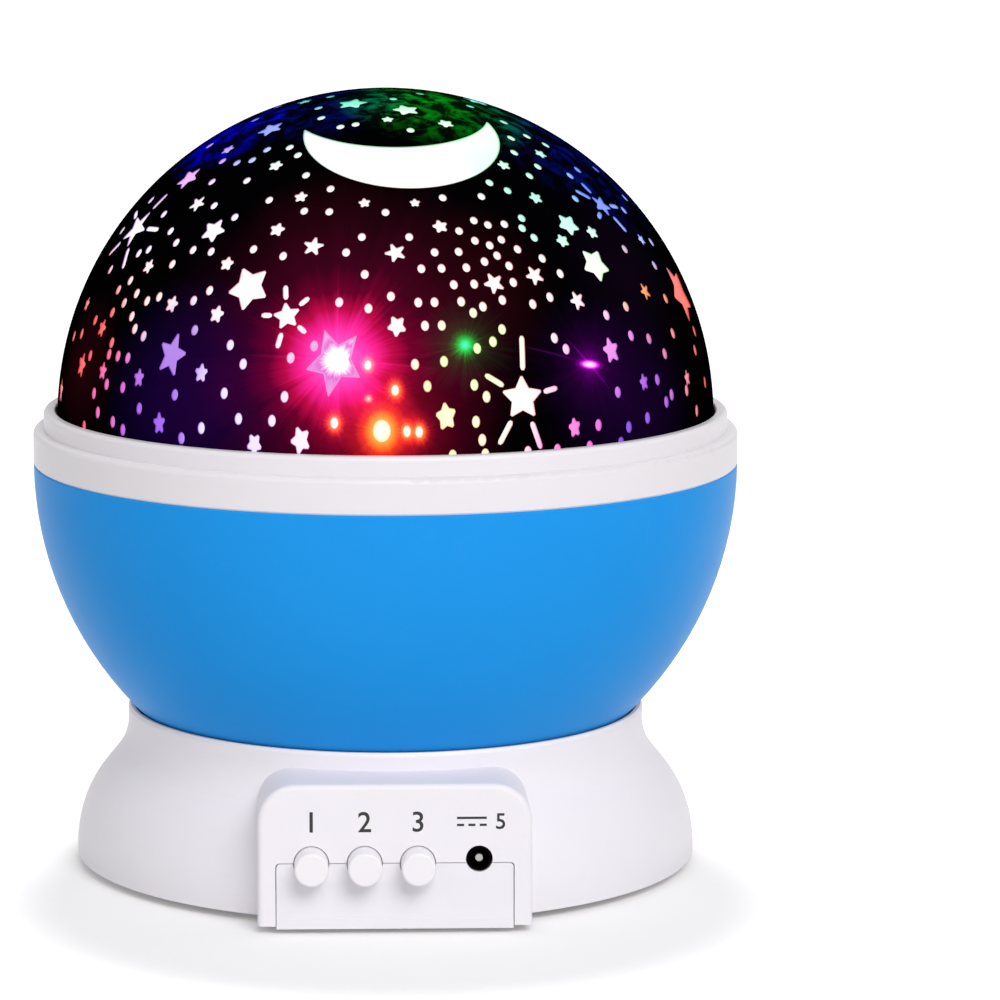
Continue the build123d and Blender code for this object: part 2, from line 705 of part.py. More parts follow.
ring_inner = dome_radius + slip_gap
ring_lip_radius = bowl_radius - ring_lip_inset
ring_skirt_outer = sqrt(bowl_inner ** 2 - ring_skirt_depth ** 2) - slip_gap
ring_step = bowl_rim + ring_wall_height
with BuildPart() as rim_ring:
    with BuildSketch(Plane.XZ):
        Polygon(
            (bowl_radius - seam_chamfer, bowl_rim),
            (bowl_radius, bowl_rim + seam_chamfer),
            (bowl_radius, ring_step),
            (ring_lip_radius, ring_step),
            (ring_lip_radius, ring_top),
            (ring_inner, ring_top),
            (ring_inner, dome_seat),
            (dome_inner - slip_gap, dome_seat),
            (dome_inner - slip_gap, dome_seat - ledge_thickness),
            (ring_skirt_outer - ring_skirt_wall, bowl_rim - ledge_thickness),
            (ring_skirt_outer - ring_skirt_wall, bowl_rim - ring_skirt_depth),
            (ring_skirt_outer, bowl_rim - ring_skirt_depth),
            (ring_skirt_outer, bowl_rim),
        )
        fillet(vertices().group_by(Axis.X)[-1].sort_by(Axis.Y)[-1], ring_shoulder_round)
        fillet(vertices().group_by(Axis.Y)[-1].sort_by(Axis.X)[-1], ring_lip_round)
        fillet(vertices().group_by(Axis.Y)[-1].sort_by(Axis.X)[0], ring_lip_round / 2)
    revolve(axis=Axis.Z)
rim_ring.part.label = "rim_ring"
export_step(rim_ring.part, "parts/rim_ring.step")

with BuildPart() as star_dome:
    with BuildSketch(Plane.XZ):
        with BuildLine():
            outside = CenterArc((0, dome_centre), dome_outer, 0, 90)
            inside = CenterArc((0, dome_centre), dome_inner, 0, 90)
            foot = Polyline(outside @ 0, (dome_outer, dome_seat), (dome_inner, dome_seat), inside @ 0)
            pole = Line(outside @ 1, inside @ 1)
        make_face()
    revolve(axis=Axis.Z)
star_dome.part.label = "star_dome"
export_step(star_dome.part, "parts/star_dome.step")

# stars that are open in the black skin, five sizes across their widest points
tiny = 2.6
small = 3.3
middling = 4.6
large = 6.2
giant = 8.6
# degrees round from the front, degrees up, size, turn
front_stars = (
    (-24, 76, middling, 10), (12, 73, middling, 40), (82, 74, middling, 0), (-51, 64, middling, 20),
    (-65, 49, middling, 0), (-50, 44, small, 30), (-67, 37, middling, 12), (-40, 39, middling, 8),
    (-33, 54, tiny, 0), (-15, 37, small, 15), (2, 36, small, 35), (12, 41, tiny, 0),
    (-27, 29, large, 6), (-54, 31, tiny, 20), (-18, 24, small, 0), (-43, 25, tiny, 30),
    (-32, 24, tiny, 10), (-61, 19, tiny, 0), (-40, 16, middling, 14), (-8, 17, large, 0),
    (-67, 12, small, 25), (-33, 14, tiny, 0), (2, 23, tiny, 0), (-14, 4, small, 10),
    (10, 8, small, 30), (21, 31, small, 0), (30, 31, small, 20), (44, 40, small, 10),
    (61, 43, middling, 0), (46, 32, middling, 26), (38, 26, tiny, 0), (58, 26, tiny, 15),
    (43, 17, tiny, 0), (37, 15, small, 20), (75, 24, giant, 8), (23, 10, large, 0),
)
back_stars = [(turn + 180, up, size, spin) for turn, up, size, spin in front_stars if up < 60]
moon_place = (7, 66, 4)             # degrees round, degrees up, turn
moon_radius = 17.5
moon_bite_radius = 18.5
moon_bite_shift = 10.4
star_waist = 0.46                   # inner corners over points
window_depth = 4.0                  # deep enough for the skin to curve away under the moon
pattern_turn = -1.6                 # degrees, the whole pattern against the panel


def skin_plane(turn, up):
    """Plane touching the skin, its X level and its Y towards the pole."""
    level = radians(turn + pattern_turn - 90)
    outward = Vector(cos(radians(up)) * cos(level), cos(radians(up)) * sin(level), sin(radians(up)))
    sideways = Vector(-sin(level), cos(level), 0)
    return Plane(Vector(0, 0, dome_centre) + outward * dome_radius, x_dir=sideways, z_dir=outward)


def star_points(size, spin):
    """Ten corners of a five-pointed star, one point towards the pole."""
    reach = size / (2 * sin(radians(72)))
    corners = []
    for k in range(10):
        length = reach if k % 2 == 0 else reach * star_waist
        angle = radians(90 + 36 * k + spin)
        corners.append((length * cos(angle), length * sin(angle)))
    return corners


with BuildPart() as star_skin:
    with BuildSketch(Plane.XZ):
        with BuildLine():
            outside = CenterArc((0, dome_centre), dome_radius, 0, 90)
            inside = CenterArc((0, dome_centre), dome_radius - skin_thickness, 0, 90)
            hem = Polyline(outside @ 0, (dome_radius, dome_centre - skin_skirt),
                           (dome_radius - skin_thickness, dome_centre - skin_skirt), inside @ 0)
            pole = Line(outside @ 1, inside @ 1)
        make_face()
    revolve(axis=Axis.Z)
    for turn, up, size, spin in (*front_stars, *back_stars):
        with BuildSketch(skin_plane(turn, up)):
            Polygon(*star_points(size, spin))
    with BuildSketch(skin_plane(moon_place[0], moon_place[1]).rotated((0, 0, moon_place[2]))):
        Circle(moon_radius)
        with Locations((0, moon_bite_shift)):
            Circle(moon_bite_radius, mode=Mode.SUBTRACT)
    extrude(amount=window_depth, both=True, mode=Mode.SUBTRACT)
star_skin.part.label = "star_skin"
export_step(star_skin.part, "parts/star_skin.step")

# ======== gear drive ========
drive_distance = ring_module * (ring_teeth - drive_pinion_teeth) / 2
second_distance = second_module * (drive_wheel_teeth + compound_pinion_teeth) / 2
first_distance = first_module * (compound_wheel_teeth + motor_pinion_teeth) / 2
drive_at = Vector(drive_distance, 0)
compound_at = drive_at + Vector(second_distance, 0).rotate(Axis.Z, compound_direction)
motor_at = compound_at + Vector(first_distance, 0).rotate(Axis.Z, motor_direction)


def tooth_half_angle(teeth, module, radius):
    """Half the angle that an involute tooth fills at a radius, in radians."""
    pitch_radius = teeth * module / 2
    base = pitch_radius * cos(radians(pressure_angle))
    at_pitch = radians(pressure_angle)
    at_radius = acos(min(1.0, base / radius))
    return pi / (2 * teeth) + (tan(at_pitch) - at_pitch) - (tan(at_radius) - at_radius)


def gear_points(teeth, module, first_tooth):
    """Corners of an outside gear, four a tooth, with one tooth centred on first_tooth degrees."""
    tip = module * (teeth / 2 + 1)
    root = module * (teeth / 2 - tooth_root)
    slack = tooth_slack * module / (teeth * module)
    at_tip = tooth_half_angle(teeth, module, tip) - slack
    at_root = tooth_half_angle(teeth, module, root) - slack
    corners = []
    for k in range(teeth):
        middle = radians(first_tooth) + 2 * pi * k / teeth
        for radius, swing in ((root, -at_root), (tip, -at_tip), (tip, at_tip), (root, at_root)):
            corners.append((radius * cos(middle + swing), radius * sin(middle + swing)))
    return corners


def ring_points(teeth, module, first_space):
    """Corners of an inside gear, with one space centred on first_space degrees."""
    tip = module * (teeth / 2 - 1)
    root = module * (teeth / 2 + tooth_root)
    slack = tooth_slack * module / (teeth * module)
    at_tip = tooth_half_angle(teeth, module, tip) + slack
    at_root = tooth_half_angle(teeth, module, root) + slack
    corners = []
    for k in range(teeth):
        middle = radians(first_space) + 2 * pi * k / teeth
        for radius, swing in ((tip, -at_tip), (root, -at_root), (root, at_root), (tip, at_tip)):
            corners.append((radius * cos(middle + swing), radius * sin(middle + swing)))
    return corners


with BuildPart() as ring_gear:
    with BuildSketch(Plane.XY.offset(bowl_floor_top)):
        Circle(ring_gear_outer)
    extrude(amount=ring_gear_height)
    with BuildSketch(Plane.XY.offset(bowl_floor_top)):
        Circle(ring_gear_outer + ring_flange_width)
    extrude(amount=ring_flange_thickness)
    with BuildSketch(Plane.XY.offset(bowl_floor_top)):
        Polygon(*ring_points(ring_teeth, ring_module, 0))
    extrude(amount=ring_gear_height, mode=Mode.SUBTRACT)
    with BuildSketch(Plane.XY.offset(bowl_floor_top)):
        with Locations(*on_circle(ring_screw_circle, ring_screw_angles)):
            Circle(screw_hole)
    extrude(amount=ring_flange_thickness, mode=Mode.SUBTRACT)
ring_gear.part.label = "ring_gear"
export_step(ring_gear.part, "parts/ring_gear.step")

with BuildPart() as ring_screws:
    with BuildSketch(Plane.XY.offset(bowl_floor_top + ring_flange_thickness)):
        with Locations(*on_circle(ring_screw_circle, ring_screw_angles)):
            Circle(screw_head_radius)
    extrude(amount=screw_head_height)
    fillet(edges().group_by(Axis.Z)[-1], screw_head_round)
    with BuildSketch(Plane.XY.offset(bowl_floor_top + ring_flange_thickness)):
        with Locations(*on_circle(ring_screw_circle, ring_screw_angles)):
            Circle(screw_radius)
    extrude(amount=-ring_screw_length)
    with BuildSketch(Plane.XY.offset(bowl_floor_top + ring_flange_thickness + screw_head_height)):
        with Locations(*on_circle(ring_screw_circle, ring_screw_angles)):
            cross_recesses()
    extrude(amount=-recess_depth, mode=Mode.SUBTRACT)
ring_screws.part.label = "ring_screws"
export_step(ring_screws.part, "parts/ring_screws.step")

# the train: drive pinion in the ring gear, then the two reductions above it


def over(place, height):
    """Horizontal plane at a height, with its origin over a place."""
    return Plane((place.X, place.Y, height))


with BuildPart() as drive_gear:
    with BuildSketch(over(drive_at, pinion_bottom)):
        Polygon(*gear_points(drive_pinion_teeth, ring_module, 0))
    extrude(amount=wheel_bottom - pinion_bottom)
    with BuildSketch(over(drive_at, wheel_bottom)):
        Polygon(*gear_points(drive_wheel_teeth, second_module, compound_direction))
    extrude(amount=gear_face)
    with BuildSketch(over(drive_at, pinion_bottom)):
        Circle(axle_radius + axle_gap)
    extrude(amount=wheel_top - pinion_bottom, mode=Mode.SUBTRACT)
drive_gear.part.label = "drive_gear"
export_step(drive_gear.part, "parts/drive_gear.step")

# a space of the small pinion faces the drive wheel
compound_space = compound_direction + 180
compound_bottom = wheel_bottom - layer_gap / 2
with BuildPart() as compound_gear:
    with BuildSketch(over(compound_at, compound_bottom)):
        Polygon(*gear_points(compound_pinion_teeth, second_module,
                             compound_space + 180 / compound_pinion_teeth))
    extrude(amount=first_bottom - compound_bottom)
    with BuildSketch(over(compound_at, first_bottom)):
        Polygon(*gear_points(compound_wheel_teeth, first_module, motor_direction))
    extrude(amount=gear_face)
    with BuildSketch(over(compound_at, first_top)):
        Circle(hub_radius)
    extrude(amount=cover_bottom - end_play - first_top)
    with BuildSketch(over(compound_at, compound_bottom)):
        Circle(axle_radius + axle_gap)
    extrude(amount=cover_bottom - compound_bottom, mode=Mode.SUBTRACT)
compound_gear.part.label = "compound_gear"
export_step(compound_gear.part, "parts/compound_gear.step")

motor_space = motor_direction + 180
motor_pinion_bottom = first_bottom - end_play
motor_pinion_top = first_top + end_play
with BuildPart() as motor_pinion:
    with BuildSketch(over(motor_at, motor_pinion_bottom)):
        Polygon(*gear_points(motor_pinion_teeth, first_module, motor_space + 180 / motor_pinion_teeth))
        Circle(axle_radius + press_gap, mode=Mode.SUBTRACT)
    extrude(amount=motor_pinion_top - motor_pinion_bottom)
motor_pinion.part.label = "motor_pinion"
export_step(motor_pinion.part, "parts/motor_pinion.step")

with BuildPart() as motor_shaft:
    with BuildSketch(over(motor_at, motor_pinion_bottom)):
        Circle(axle_radius)
    extrude(amount=cover_top + motor_shaft_depth - motor_pinion_bottom)
motor_shaft.part.label = "motor_shaft"
export_step(motor_shaft.part, "parts/motor_shaft.step")

for name, place in (("drive_axle", drive_at), ("compound_axle", compound_at)):
    with BuildPart() as axle:
        with BuildSketch(over(place, journal_top)):
            Circle(axle_radius)
        extrude(amount=cover_top - journal_top)
    axle.part.label = name
    export_step(axle.part, f"parts/{name}.step")

# ======== lamp tower and gear cover ========
post_screw_depth = tower_screw_length - cover_thickness + end_play
column_bore = column_radius - column_wall
with BuildPart() as lamp_tower:
    with BuildSketch(Plane.XZ):
        Polygon(
            (column_bore, journal_top),
            (journal_radius + flange_overhang, journal_top),
            (journal_radius + flange_overhang, flange_top),
            (column_radius, flange_top),
            (column_radius, cup_seat - cup_floor - cup_flare),
            (cup_radius, cup_seat - cup_floor),
            (cup_radius, cup_seat + cup_rim_height),
            (cup_radius - cup_rim, cup_seat + cup_rim_height),
            (cup_radius - cup_rim, cup_seat),
            (column_bore, cup_seat),
        )
    revolve(axis=Axis.Z)
    # posts for the cover and seats under the two gears
    with BuildSketch(Plane.XY.offset(flange_top)):
        with Locations(*post_places):
            Circle(post_radius)
    extrude(amount=cover_bottom - flange_top)
    with BuildSketch(over(compound_at, flange_top)):
        Circle(hub_radius)
    extrude(amount=compound_bottom - seam_gap - flange_top)
    with BuildSketch(over(drive_at, flange_top)):
        Circle(hub_radius)
    extrude(amount=pinion_bottom - seam_gap - flange_top)
    # holes for the screws and the axles
    with BuildSketch(Plane.XY.offset(cover_bottom)):
        with Locations(*post_places):
            Circle(screw_radius + press_gap)
    extrude(amount=-post_screw_depth, mode=Mode.SUBTRACT)
    with BuildSketch(Plane.XY.offset(journal_top)):
        with Locations(*on_circle(tower_boss_circle, tower_boss_angles)):
            Circle(screw_hole)
    extrude(amount=flange_height, mode=Mode.SUBTRACT)
    with BuildSketch(Plane.XY.offset(journal_top)):
        with Locations((drive_at.X, drive_at.Y), (compound_at.X, compound_at.Y)):
            Circle(axle_radius + press_gap)
    extrude(amount=compound_bottom - journal_top, mode=Mode.SUBTRACT)
lamp_tower.part.label = "lamp_tower"
export_step(lamp_tower.part, "parts/lamp_tower.step")

with BuildPart() as tower_screws:
    with BuildSketch(Plane.XY.offset(flange_top)):
        with Locations(*on_circle(tower_boss_circle, tower_boss_angles)):
            Circle(screw_head_radius)
    extrude(amount=screw_head_height)
    fillet(edges().group_by(Axis.Z)[-1], screw_head_round)
    with BuildSketch(Plane.XY.offset(flange_top)):
        with Locations(*on_circle(tower_boss_circle, tower_boss_angles)):
            Circle(screw_radius)
    extrude(amount=-tower_screw_length)
    with BuildSketch(Plane.XY.offset(flange_top + screw_head_height)):
        with Locations(*on_circle(tower_boss_circle, tower_boss_angles)):
            cross_recesses()
    extrude(amount=-recess_depth, mode=Mode.SUBTRACT)
tower_screws.part.label = "tower_screws"
export_step(tower_screws.part, "parts/tower_screws.step")

with BuildPart() as gear_cover:
    with BuildSketch(Plane.XY.offset(cover_bottom)):
        with BuildLine():
            for spot, reach in ((drive_at, cover_margin), (compound_at, cover_margin),
                                (motor_at, motor_radius + collar_wall),
                                *[(Vector(*post), cover_margin) for post in post_places]):
                CenterArc((spot.X, spot.Y), reach, 0, 360)
        make_hull()
        with Locations((0, 0)):
            Circle(column_radius + seam_gap, mode=Mode.SUBTRACT)
        with Locations((drive_at.X, drive_at.Y), (compound_at.X, compound_at.Y)):
            Circle(axle_radius + press_gap, mode=Mode.SUBTRACT)
        with Locations((motor_at.X, motor_at.Y)):
            Circle(motor_boss_radius + seam_gap, mode=Mode.SUBTRACT)
        with Locations(*post_places):
            Circle(screw_hole, mode=Mode.SUBTRACT)
    extrude(amount=cover_thickness)
    with BuildSketch(over(motor_at, cover_top)):
        Circle(motor_radius + collar_wall)
        Circle(motor_radius + seam_gap, mode=Mode.SUBTRACT)
    extrude(amount=collar_height)
gear_cover.part.label = "gear_cover"
export_step(gear_cover.part, "parts/gear_cover.step")

with BuildPart() as cover_screws:
    with BuildSketch(Plane.XY.offset(cover_top)):
        with Locations(*post_places):
            Circle(screw_head_radius)
    extrude(amount=screw_head_height)
    fillet(edges().group_by(Axis.Z)[-1], screw_head_round)
    with BuildSketch(Plane.XY.offset(cover_top)):
        with Locations(*post_places):
            Circle(screw_radius)
    extrude(amount=-tower_screw_length)
    with BuildSketch(Plane.XY.offset(cover_top + screw_head_height)):
        with Locations(*post_places):
            cross_recesses()
    extrude(amount=-recess_depth, mode=Mode.SUBTRACT)
cover_screws.part.label = "cover_screws"
export_step(cover_screws.part, "parts/cover_screws.step")

with BuildPart() as motor_can:
    with BuildSketch(over(motor_at, cover_top)):
        Circle(motor_radius)
    extrude(amount=motor_length)
    fillet(edges().group_by(Axis.Z)[-1], edge_round)
    with BuildSketch(over(motor_at, cover_top)):
        Circle(motor_boss_radius)
    extrude(amount=-cover_thickness / 2)
    with BuildSketch(over(motor_at, cover_top + motor_length)):
        Circle(motor_boss_radius)
    extrude(amount=motor_cap_height)
    with BuildSketch(over(motor_at, cover_bottom)):
        Circle(axle_radius + axle_gap)
    extrude(amount=cover_thickness + motor_shaft_depth + end_play, mode=Mode.SUBTRACT)
motor_can.part.label = "motor_can"
export_step(motor_can.part, "parts/motor_can.step")

# ======== lamp board, lamps and wire loom ========
with BuildPart() as lamp_board:
    with BuildSketch(Plane.XY.offset(cup_seat)):
        Circle(cup_radius - cup_rim - seam_gap)
    extrude(amount=board_thickness)
lamp_board.part.label = "lamp_board"
export_step(lamp_board.part, "parts/lamp_board.step")

lamp_barrel = lamp_height - lamp_radius
for name, (x, y) in zip(("lamp_white", "lamp_green", "lamp_blue", "lamp_red"),
                        on_circle(lamp_circle, (0, 90, 180, 270))):
    with BuildPart() as lamp:
        with BuildSketch(Plane((x, y, lamp_board_top), x_dir=(1, 0, 0), z_dir=(0, -1, 0))):
            with BuildLine():
                crown = CenterArc((0, lamp_barrel), lamp_radius, 0, 90)
                Polyline(crown @ 0, (lamp_radius, lamp_rim_height),
                         (lamp_radius + lamp_rim, lamp_rim_height), (lamp_radius + lamp_rim, 0),
                         (0, 0), crown @ 1)
            make_face()
        revolve(axis=Axis((x, y, 0), (0, 0, 1)))
    lamp.part.label = name
    export_step(lamp.part, f"parts/{name}.step")

loom_height = (deck_bottom + tray_roof + tray_wall) / 2
with BuildPart() as wire_loom:
    with BuildLine() as loom_path:
        FilletPolyline((0, board_back, loom_height), (0, 0, loom_height), (0, 0, cup_seat),
                       radius=wire_bend)
    with BuildSketch(Plane((0, board_back, loom_height), x_dir=(1, 0, 0), z_dir=(0, 1, 0))):
        Circle(wire_radius)
    sweep()
wire_loom.part.label = "wire_loom"
export_step(wire_loom.part, "parts/wire_loom.step")
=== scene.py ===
import json
from math import acos, asin, atan2, cos, exp, hypot, pi, radians, sin

import bpy
from mathutils import Matrix, Vector


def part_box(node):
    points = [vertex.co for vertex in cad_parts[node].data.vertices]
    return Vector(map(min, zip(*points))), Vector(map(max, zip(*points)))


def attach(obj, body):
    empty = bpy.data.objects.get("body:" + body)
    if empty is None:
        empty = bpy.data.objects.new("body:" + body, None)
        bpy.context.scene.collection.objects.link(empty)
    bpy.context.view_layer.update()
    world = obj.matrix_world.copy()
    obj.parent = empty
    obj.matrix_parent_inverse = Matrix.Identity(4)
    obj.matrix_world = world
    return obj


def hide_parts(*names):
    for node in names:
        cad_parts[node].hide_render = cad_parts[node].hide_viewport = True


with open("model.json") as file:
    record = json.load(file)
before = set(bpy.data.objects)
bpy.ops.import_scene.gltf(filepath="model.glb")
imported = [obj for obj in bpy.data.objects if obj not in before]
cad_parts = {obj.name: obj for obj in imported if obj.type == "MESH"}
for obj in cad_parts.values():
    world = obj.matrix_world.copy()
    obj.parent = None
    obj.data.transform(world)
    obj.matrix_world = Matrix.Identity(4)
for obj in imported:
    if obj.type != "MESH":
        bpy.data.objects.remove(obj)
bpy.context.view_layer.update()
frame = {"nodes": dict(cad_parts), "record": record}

# Rotating star night light: a lit star dome over a blue bowl, on a white base with three
# push buttons. Metres, +Z up, the control panel faces -Y.

nodes = frame["nodes"]
millimetre = 0.001


def deselectAll():
    if bpy.context.object and bpy.context.object.mode != "OBJECT":
        bpy.ops.object.mode_set(mode="OBJECT")
    bpy.ops.object.select_all(action="DESELECT")


def makeActive(piece):
    deselectAll()
    piece.select_set(True)
    bpy.context.view_layer.objects.active = piece


def settle(piece):
    # the place goes into the mesh, so that the object stands at the origin
    makeActive(piece)
    bpy.ops.object.transform_apply(location=True, rotation=True, scale=True)


def editWhole(piece):
    makeActive(piece)
    bpy.ops.object.mode_set(mode="EDIT")
    bpy.ops.mesh.select_all(action="SELECT")


def leaveOutward():
    # every normal outward, then out of edit mode
    bpy.ops.mesh.select_all(action="SELECT")
    bpy.ops.mesh.normals_make_consistent(inside=False)
    bpy.ops.object.mode_set(mode="OBJECT")


def joinAll(pieces, name):
    deselectAll()
    for piece in pieces:
        piece.select_set(True)
    bpy.context.view_layer.objects.active = pieces[0]
    bpy.ops.object.join()
    joined = bpy.context.object
    joined.name = name
    return joined


def clampShare(value):
    return min(1.0, max(0.0, value))


def flatAt(heading):
    # a flat direction, degrees from +X
    return Vector((cos(radians(heading)), sin(radians(heading)), 0))


def colour(red, green, blue):
    # a colour as it looks on screen, 0 to 255, made linear
    def one(part):
        part = part / 255
        return part / 12.92 if part <= 0.04045 else ((part + 0.055) / 1.055) ** 2.4
    return (one(red), one(green), one(blue), 1.0)


# nodes: an underscore in a socket's name here stands for a space
def plug(tree, node, **sockets):
    for name, value in sockets.items():
        fill(tree, node, name.replace("_", " "), value)


def put(tree, kind, settings=None, **sockets):
    node = tree.nodes.new(kind)
    for name, value in (settings or {}).items():
        setattr(node, name, value)
    plug(tree, node, **sockets)
    return node


def fill(tree, node, socket, value):
    target = node.inputs[socket]
    if isinstance(value, bpy.types.NodeSocket):
        tree.links.new(value, target)
    else:
        target.default_value = value


def mathNode(tree, operation, first, second=None, clamp=False):
    node = tree.nodes.new("ShaderNodeMath")
    node.operation = operation
    node.use_clamp = clamp
    fill(tree, node, 0, first)
    if second is not None:
        fill(tree, node, 1, second)
    return node.outputs[0]


def vectorNode(tree, operation, first, second=None, scale=None):
    node = tree.nodes.new("ShaderNodeVectorMath")
    node.operation = operation
    fill(tree, node, 0, first)
    if second is not None:
        fill(tree, node, 1, second)
    if scale is not None:
        fill(tree, node, "Scale", scale)
    return node.outputs["Value" if operation in ("DOT_PRODUCT", "LENGTH") else "Vector"]


def mixColours(tree, amount, first, second):
    node = tree.nodes.new("ShaderNodeMix")
    node.data_type = "RGBA"
    fill(tree, node, 0, amount)
    fill(tree, node, 6, first)
    fill(tree, node, 7, second)
    return node.outputs[2]


def mapRange(tree, value, fromRange, toRange=(0.0, 1.0), kind="LINEAR"):
    return put(tree, "ShaderNodeMapRange", {"interpolation_type": kind}, Value=value, From_Min=fromRange[0],
               From_Max=fromRange[1], To_Min=toRange[0], To_Max=toRange[1]).outputs["Result"]


def noise(tree, place, scale, detail, roughness=0.5, distortion=0.0):
    return put(tree, "ShaderNodeTexNoise", Vector=place, Scale=scale, Detail=detail, Roughness=roughness,
               Distortion=distortion).outputs["Fac"]


def bumpFrom(tree, height, strength, depth):
    # depth in millimetres
    return put(tree, "ShaderNodeBump", Height=height, Strength=strength,
               Distance=depth * millimetre).outputs["Normal"]


def sloped(tree, value, slope, start):
    return mathNode(tree, "ADD", mathNode(tree, "MULTIPLY", value, slope), start)


def attributeColour(tree, name):
    return put(tree, "ShaderNodeAttribute", {"attribute_name": name}).outputs["Color"]


def openMaterial(material):
    material.use_nodes = True
    tree = material.node_tree
    return tree, tree.nodes["Principled BSDF"], tree.nodes.new("ShaderNodeTexCoord").outputs["Object"]


def startMaterial(name):
    material = bpy.data.materials.new(name)
    return (material,) + openMaterial(material)


def startGroup(name, vectors, numbers, outputs):
    # inputs are vectors by name and numbers with their defaults, outputs are names with their kinds
    tree = bpy.data.node_groups.new(name, "ShaderNodeTree")
    for label in vectors:
        tree.interface.new_socket(name=label, in_out="INPUT", socket_type="NodeSocketVector")
    for label, value in numbers.items():
        socket = tree.interface.new_socket(name=label, in_out="INPUT", socket_type="NodeSocketFloat")
        socket.default_value = value
    for label, kind in outputs.items():
        tree.interface.new_socket(name=label, in_out="OUTPUT", socket_type="NodeSocket" + kind)
    return tree, tree.nodes.new("NodeGroupInput"), tree.nodes.new("NodeGroupOutput")


def putGroup(tree, group, **sockets):
    return put(tree, "ShaderNodeGroup", {"node_tree": group}, **sockets).outputs


# effects that the materials share
def buildMouldedGrain():
    # fine spark-eroded grain of a moulding tool, slow flow marks and a little settled dust
    tree, given, made = startGroup("MouldedGrain", ["Place"], {"Grain": 1800.0},
                                   {"Height": "Float", "Tone": "Float", "Dust": "Float"})
    place = given.outputs["Place"]
    grain = noise(tree, place, given.outputs["Grain"], 3.0, 0.6)
    flow = noise(tree, place, 38.0, 2.0)
    dust = noise(tree, place, 420.0, 4.0, 0.7)
    plug(tree, made, Height=mathNode(tree, "ADD", grain, mathNode(tree, "MULTIPLY", flow, 0.6)), Tone=flow,
         Dust=mathNode(tree, "SUBTRACT", dust, 0.52, clamp=True))
    return tree


def buildBrushedMetal():
    # fine drawn lines along one axis, and stains
    tree, given, made = startGroup("BrushedMetal", ["Place", "Stretch"], {},
                                   {"Height": "Float", "Tone": "Float"})
    place = given.outputs["Place"]
    stretched = vectorNode(tree, "MULTIPLY", place, given.outputs["Stretch"])
    plug(tree, made, Height=noise(tree, stretched, 1.0, 3.0, 0.6), Tone=noise(tree, place, 260.0, 2.0))
    return tree


mouldedGrain = buildMouldedGrain()
brushedMetal = buildBrushedMetal()


def mouldedPlastic(name, main, other, gloss, grain=1800.0, relief=0.012, dust=0.25, shine=0.4, paler=0.0):
    material, tree, shader, place = startMaterial(name)
    skin = putGroup(tree, mouldedGrain, Place=place, Grain=grain)
    tinted = mixColours(tree, skin["Tone"], colour(*main), colour(*other))
    shade = mixColours(tree, mathNode(tree, "MULTIPLY", skin["Dust"], dust), tinted, colour(205, 205, 210))
    if paler:
        # the light that it throws on its neighbours is paler than the piece itself
        thrown = tree.nodes.new("ShaderNodeLightPath").outputs["Is Diffuse Ray"]
        shade = mixColours(tree, mathNode(tree, "MULTIPLY", thrown, paler), shade, colour(226, 222, 226))
    plug(tree, shader, Base_Color=shade, Roughness=sloped(tree, skin["Tone"], 0.12, gloss),
         Normal=bumpFrom(tree, skin["Height"], 0.5, relief), Specular_IOR_Level=shine)
    return material


def drawnMetal(name, main, other, gloss, stretch):
    material, tree, shader, place = startMaterial(name)
    lines = putGroup(tree, brushedMetal, Place=place, Stretch=stretch)
    plug(tree, shader, Base_Color=mixColours(tree, lines["Tone"], colour(*main), colour(*other)),
         Roughness=sloped(tree, lines["Height"], 0.2, gloss), Normal=bumpFrom(tree, lines["Height"], 0.4, 0.01),
         Metallic=1.0)
    return material


def wrapped(name, body, band, ends):
    # printed sleeve of a cell: plain body, lighter band by the nub end
    material, tree, shader, place = startMaterial(name)
    along = put(tree, "ShaderNodeSeparateXYZ", Vector=place).outputs["Y"]
    skin = putGroup(tree, mouldedGrain, Place=place, Grain=2600.0)
    edge = mathNode(tree, "GREATER_THAN", mapRange(tree, along, ends), 0.72)
    plug(tree, shader, Base_Color=mixColours(tree, edge, colour(*body), colour(*band)),
         Roughness=sloped(tree, skin["Tone"], 0.1, 0.28), Metallic=0.6)
    return material


def circuitBoard(name):
    # solder mask over faint tracks
    material, tree, shader, place = startMaterial(name)
    tracks = put(tree, "ShaderNodeTexVoronoi", {"feature": "DISTANCE_TO_EDGE"}, Vector=place,
                 Scale=420.0, Randomness=0.35)
    line = mathNode(tree, "LESS_THAN", tracks.outputs["Distance"], 0.06)
    skin = putGroup(tree, mouldedGrain, Place=place, Grain=1500.0)
    plug(tree, shader, Base_Color=mixColours(tree, line, colour(20, 96, 54), colour(46, 132, 76)),
         Roughness=sloped(tree, skin["Tone"], 0.1, 0.3), Normal=bumpFrom(tree, line, 0.5, 0.03))
    return material


def epoxyLens(name, main):
    # cast lens of a lamp, cloudy in places
    material, tree, shader, place = startMaterial(name)
    haze = noise(tree, place, 700.0, 2.0)
    plug(tree, shader, Base_Color=mixColours(tree, haze, colour(*main), colour(250, 250, 250)),
         Roughness=mathNode(tree, "MULTIPLY", haze, 0.2), Transmission_Weight=0.85, IOR=1.54)
    return material


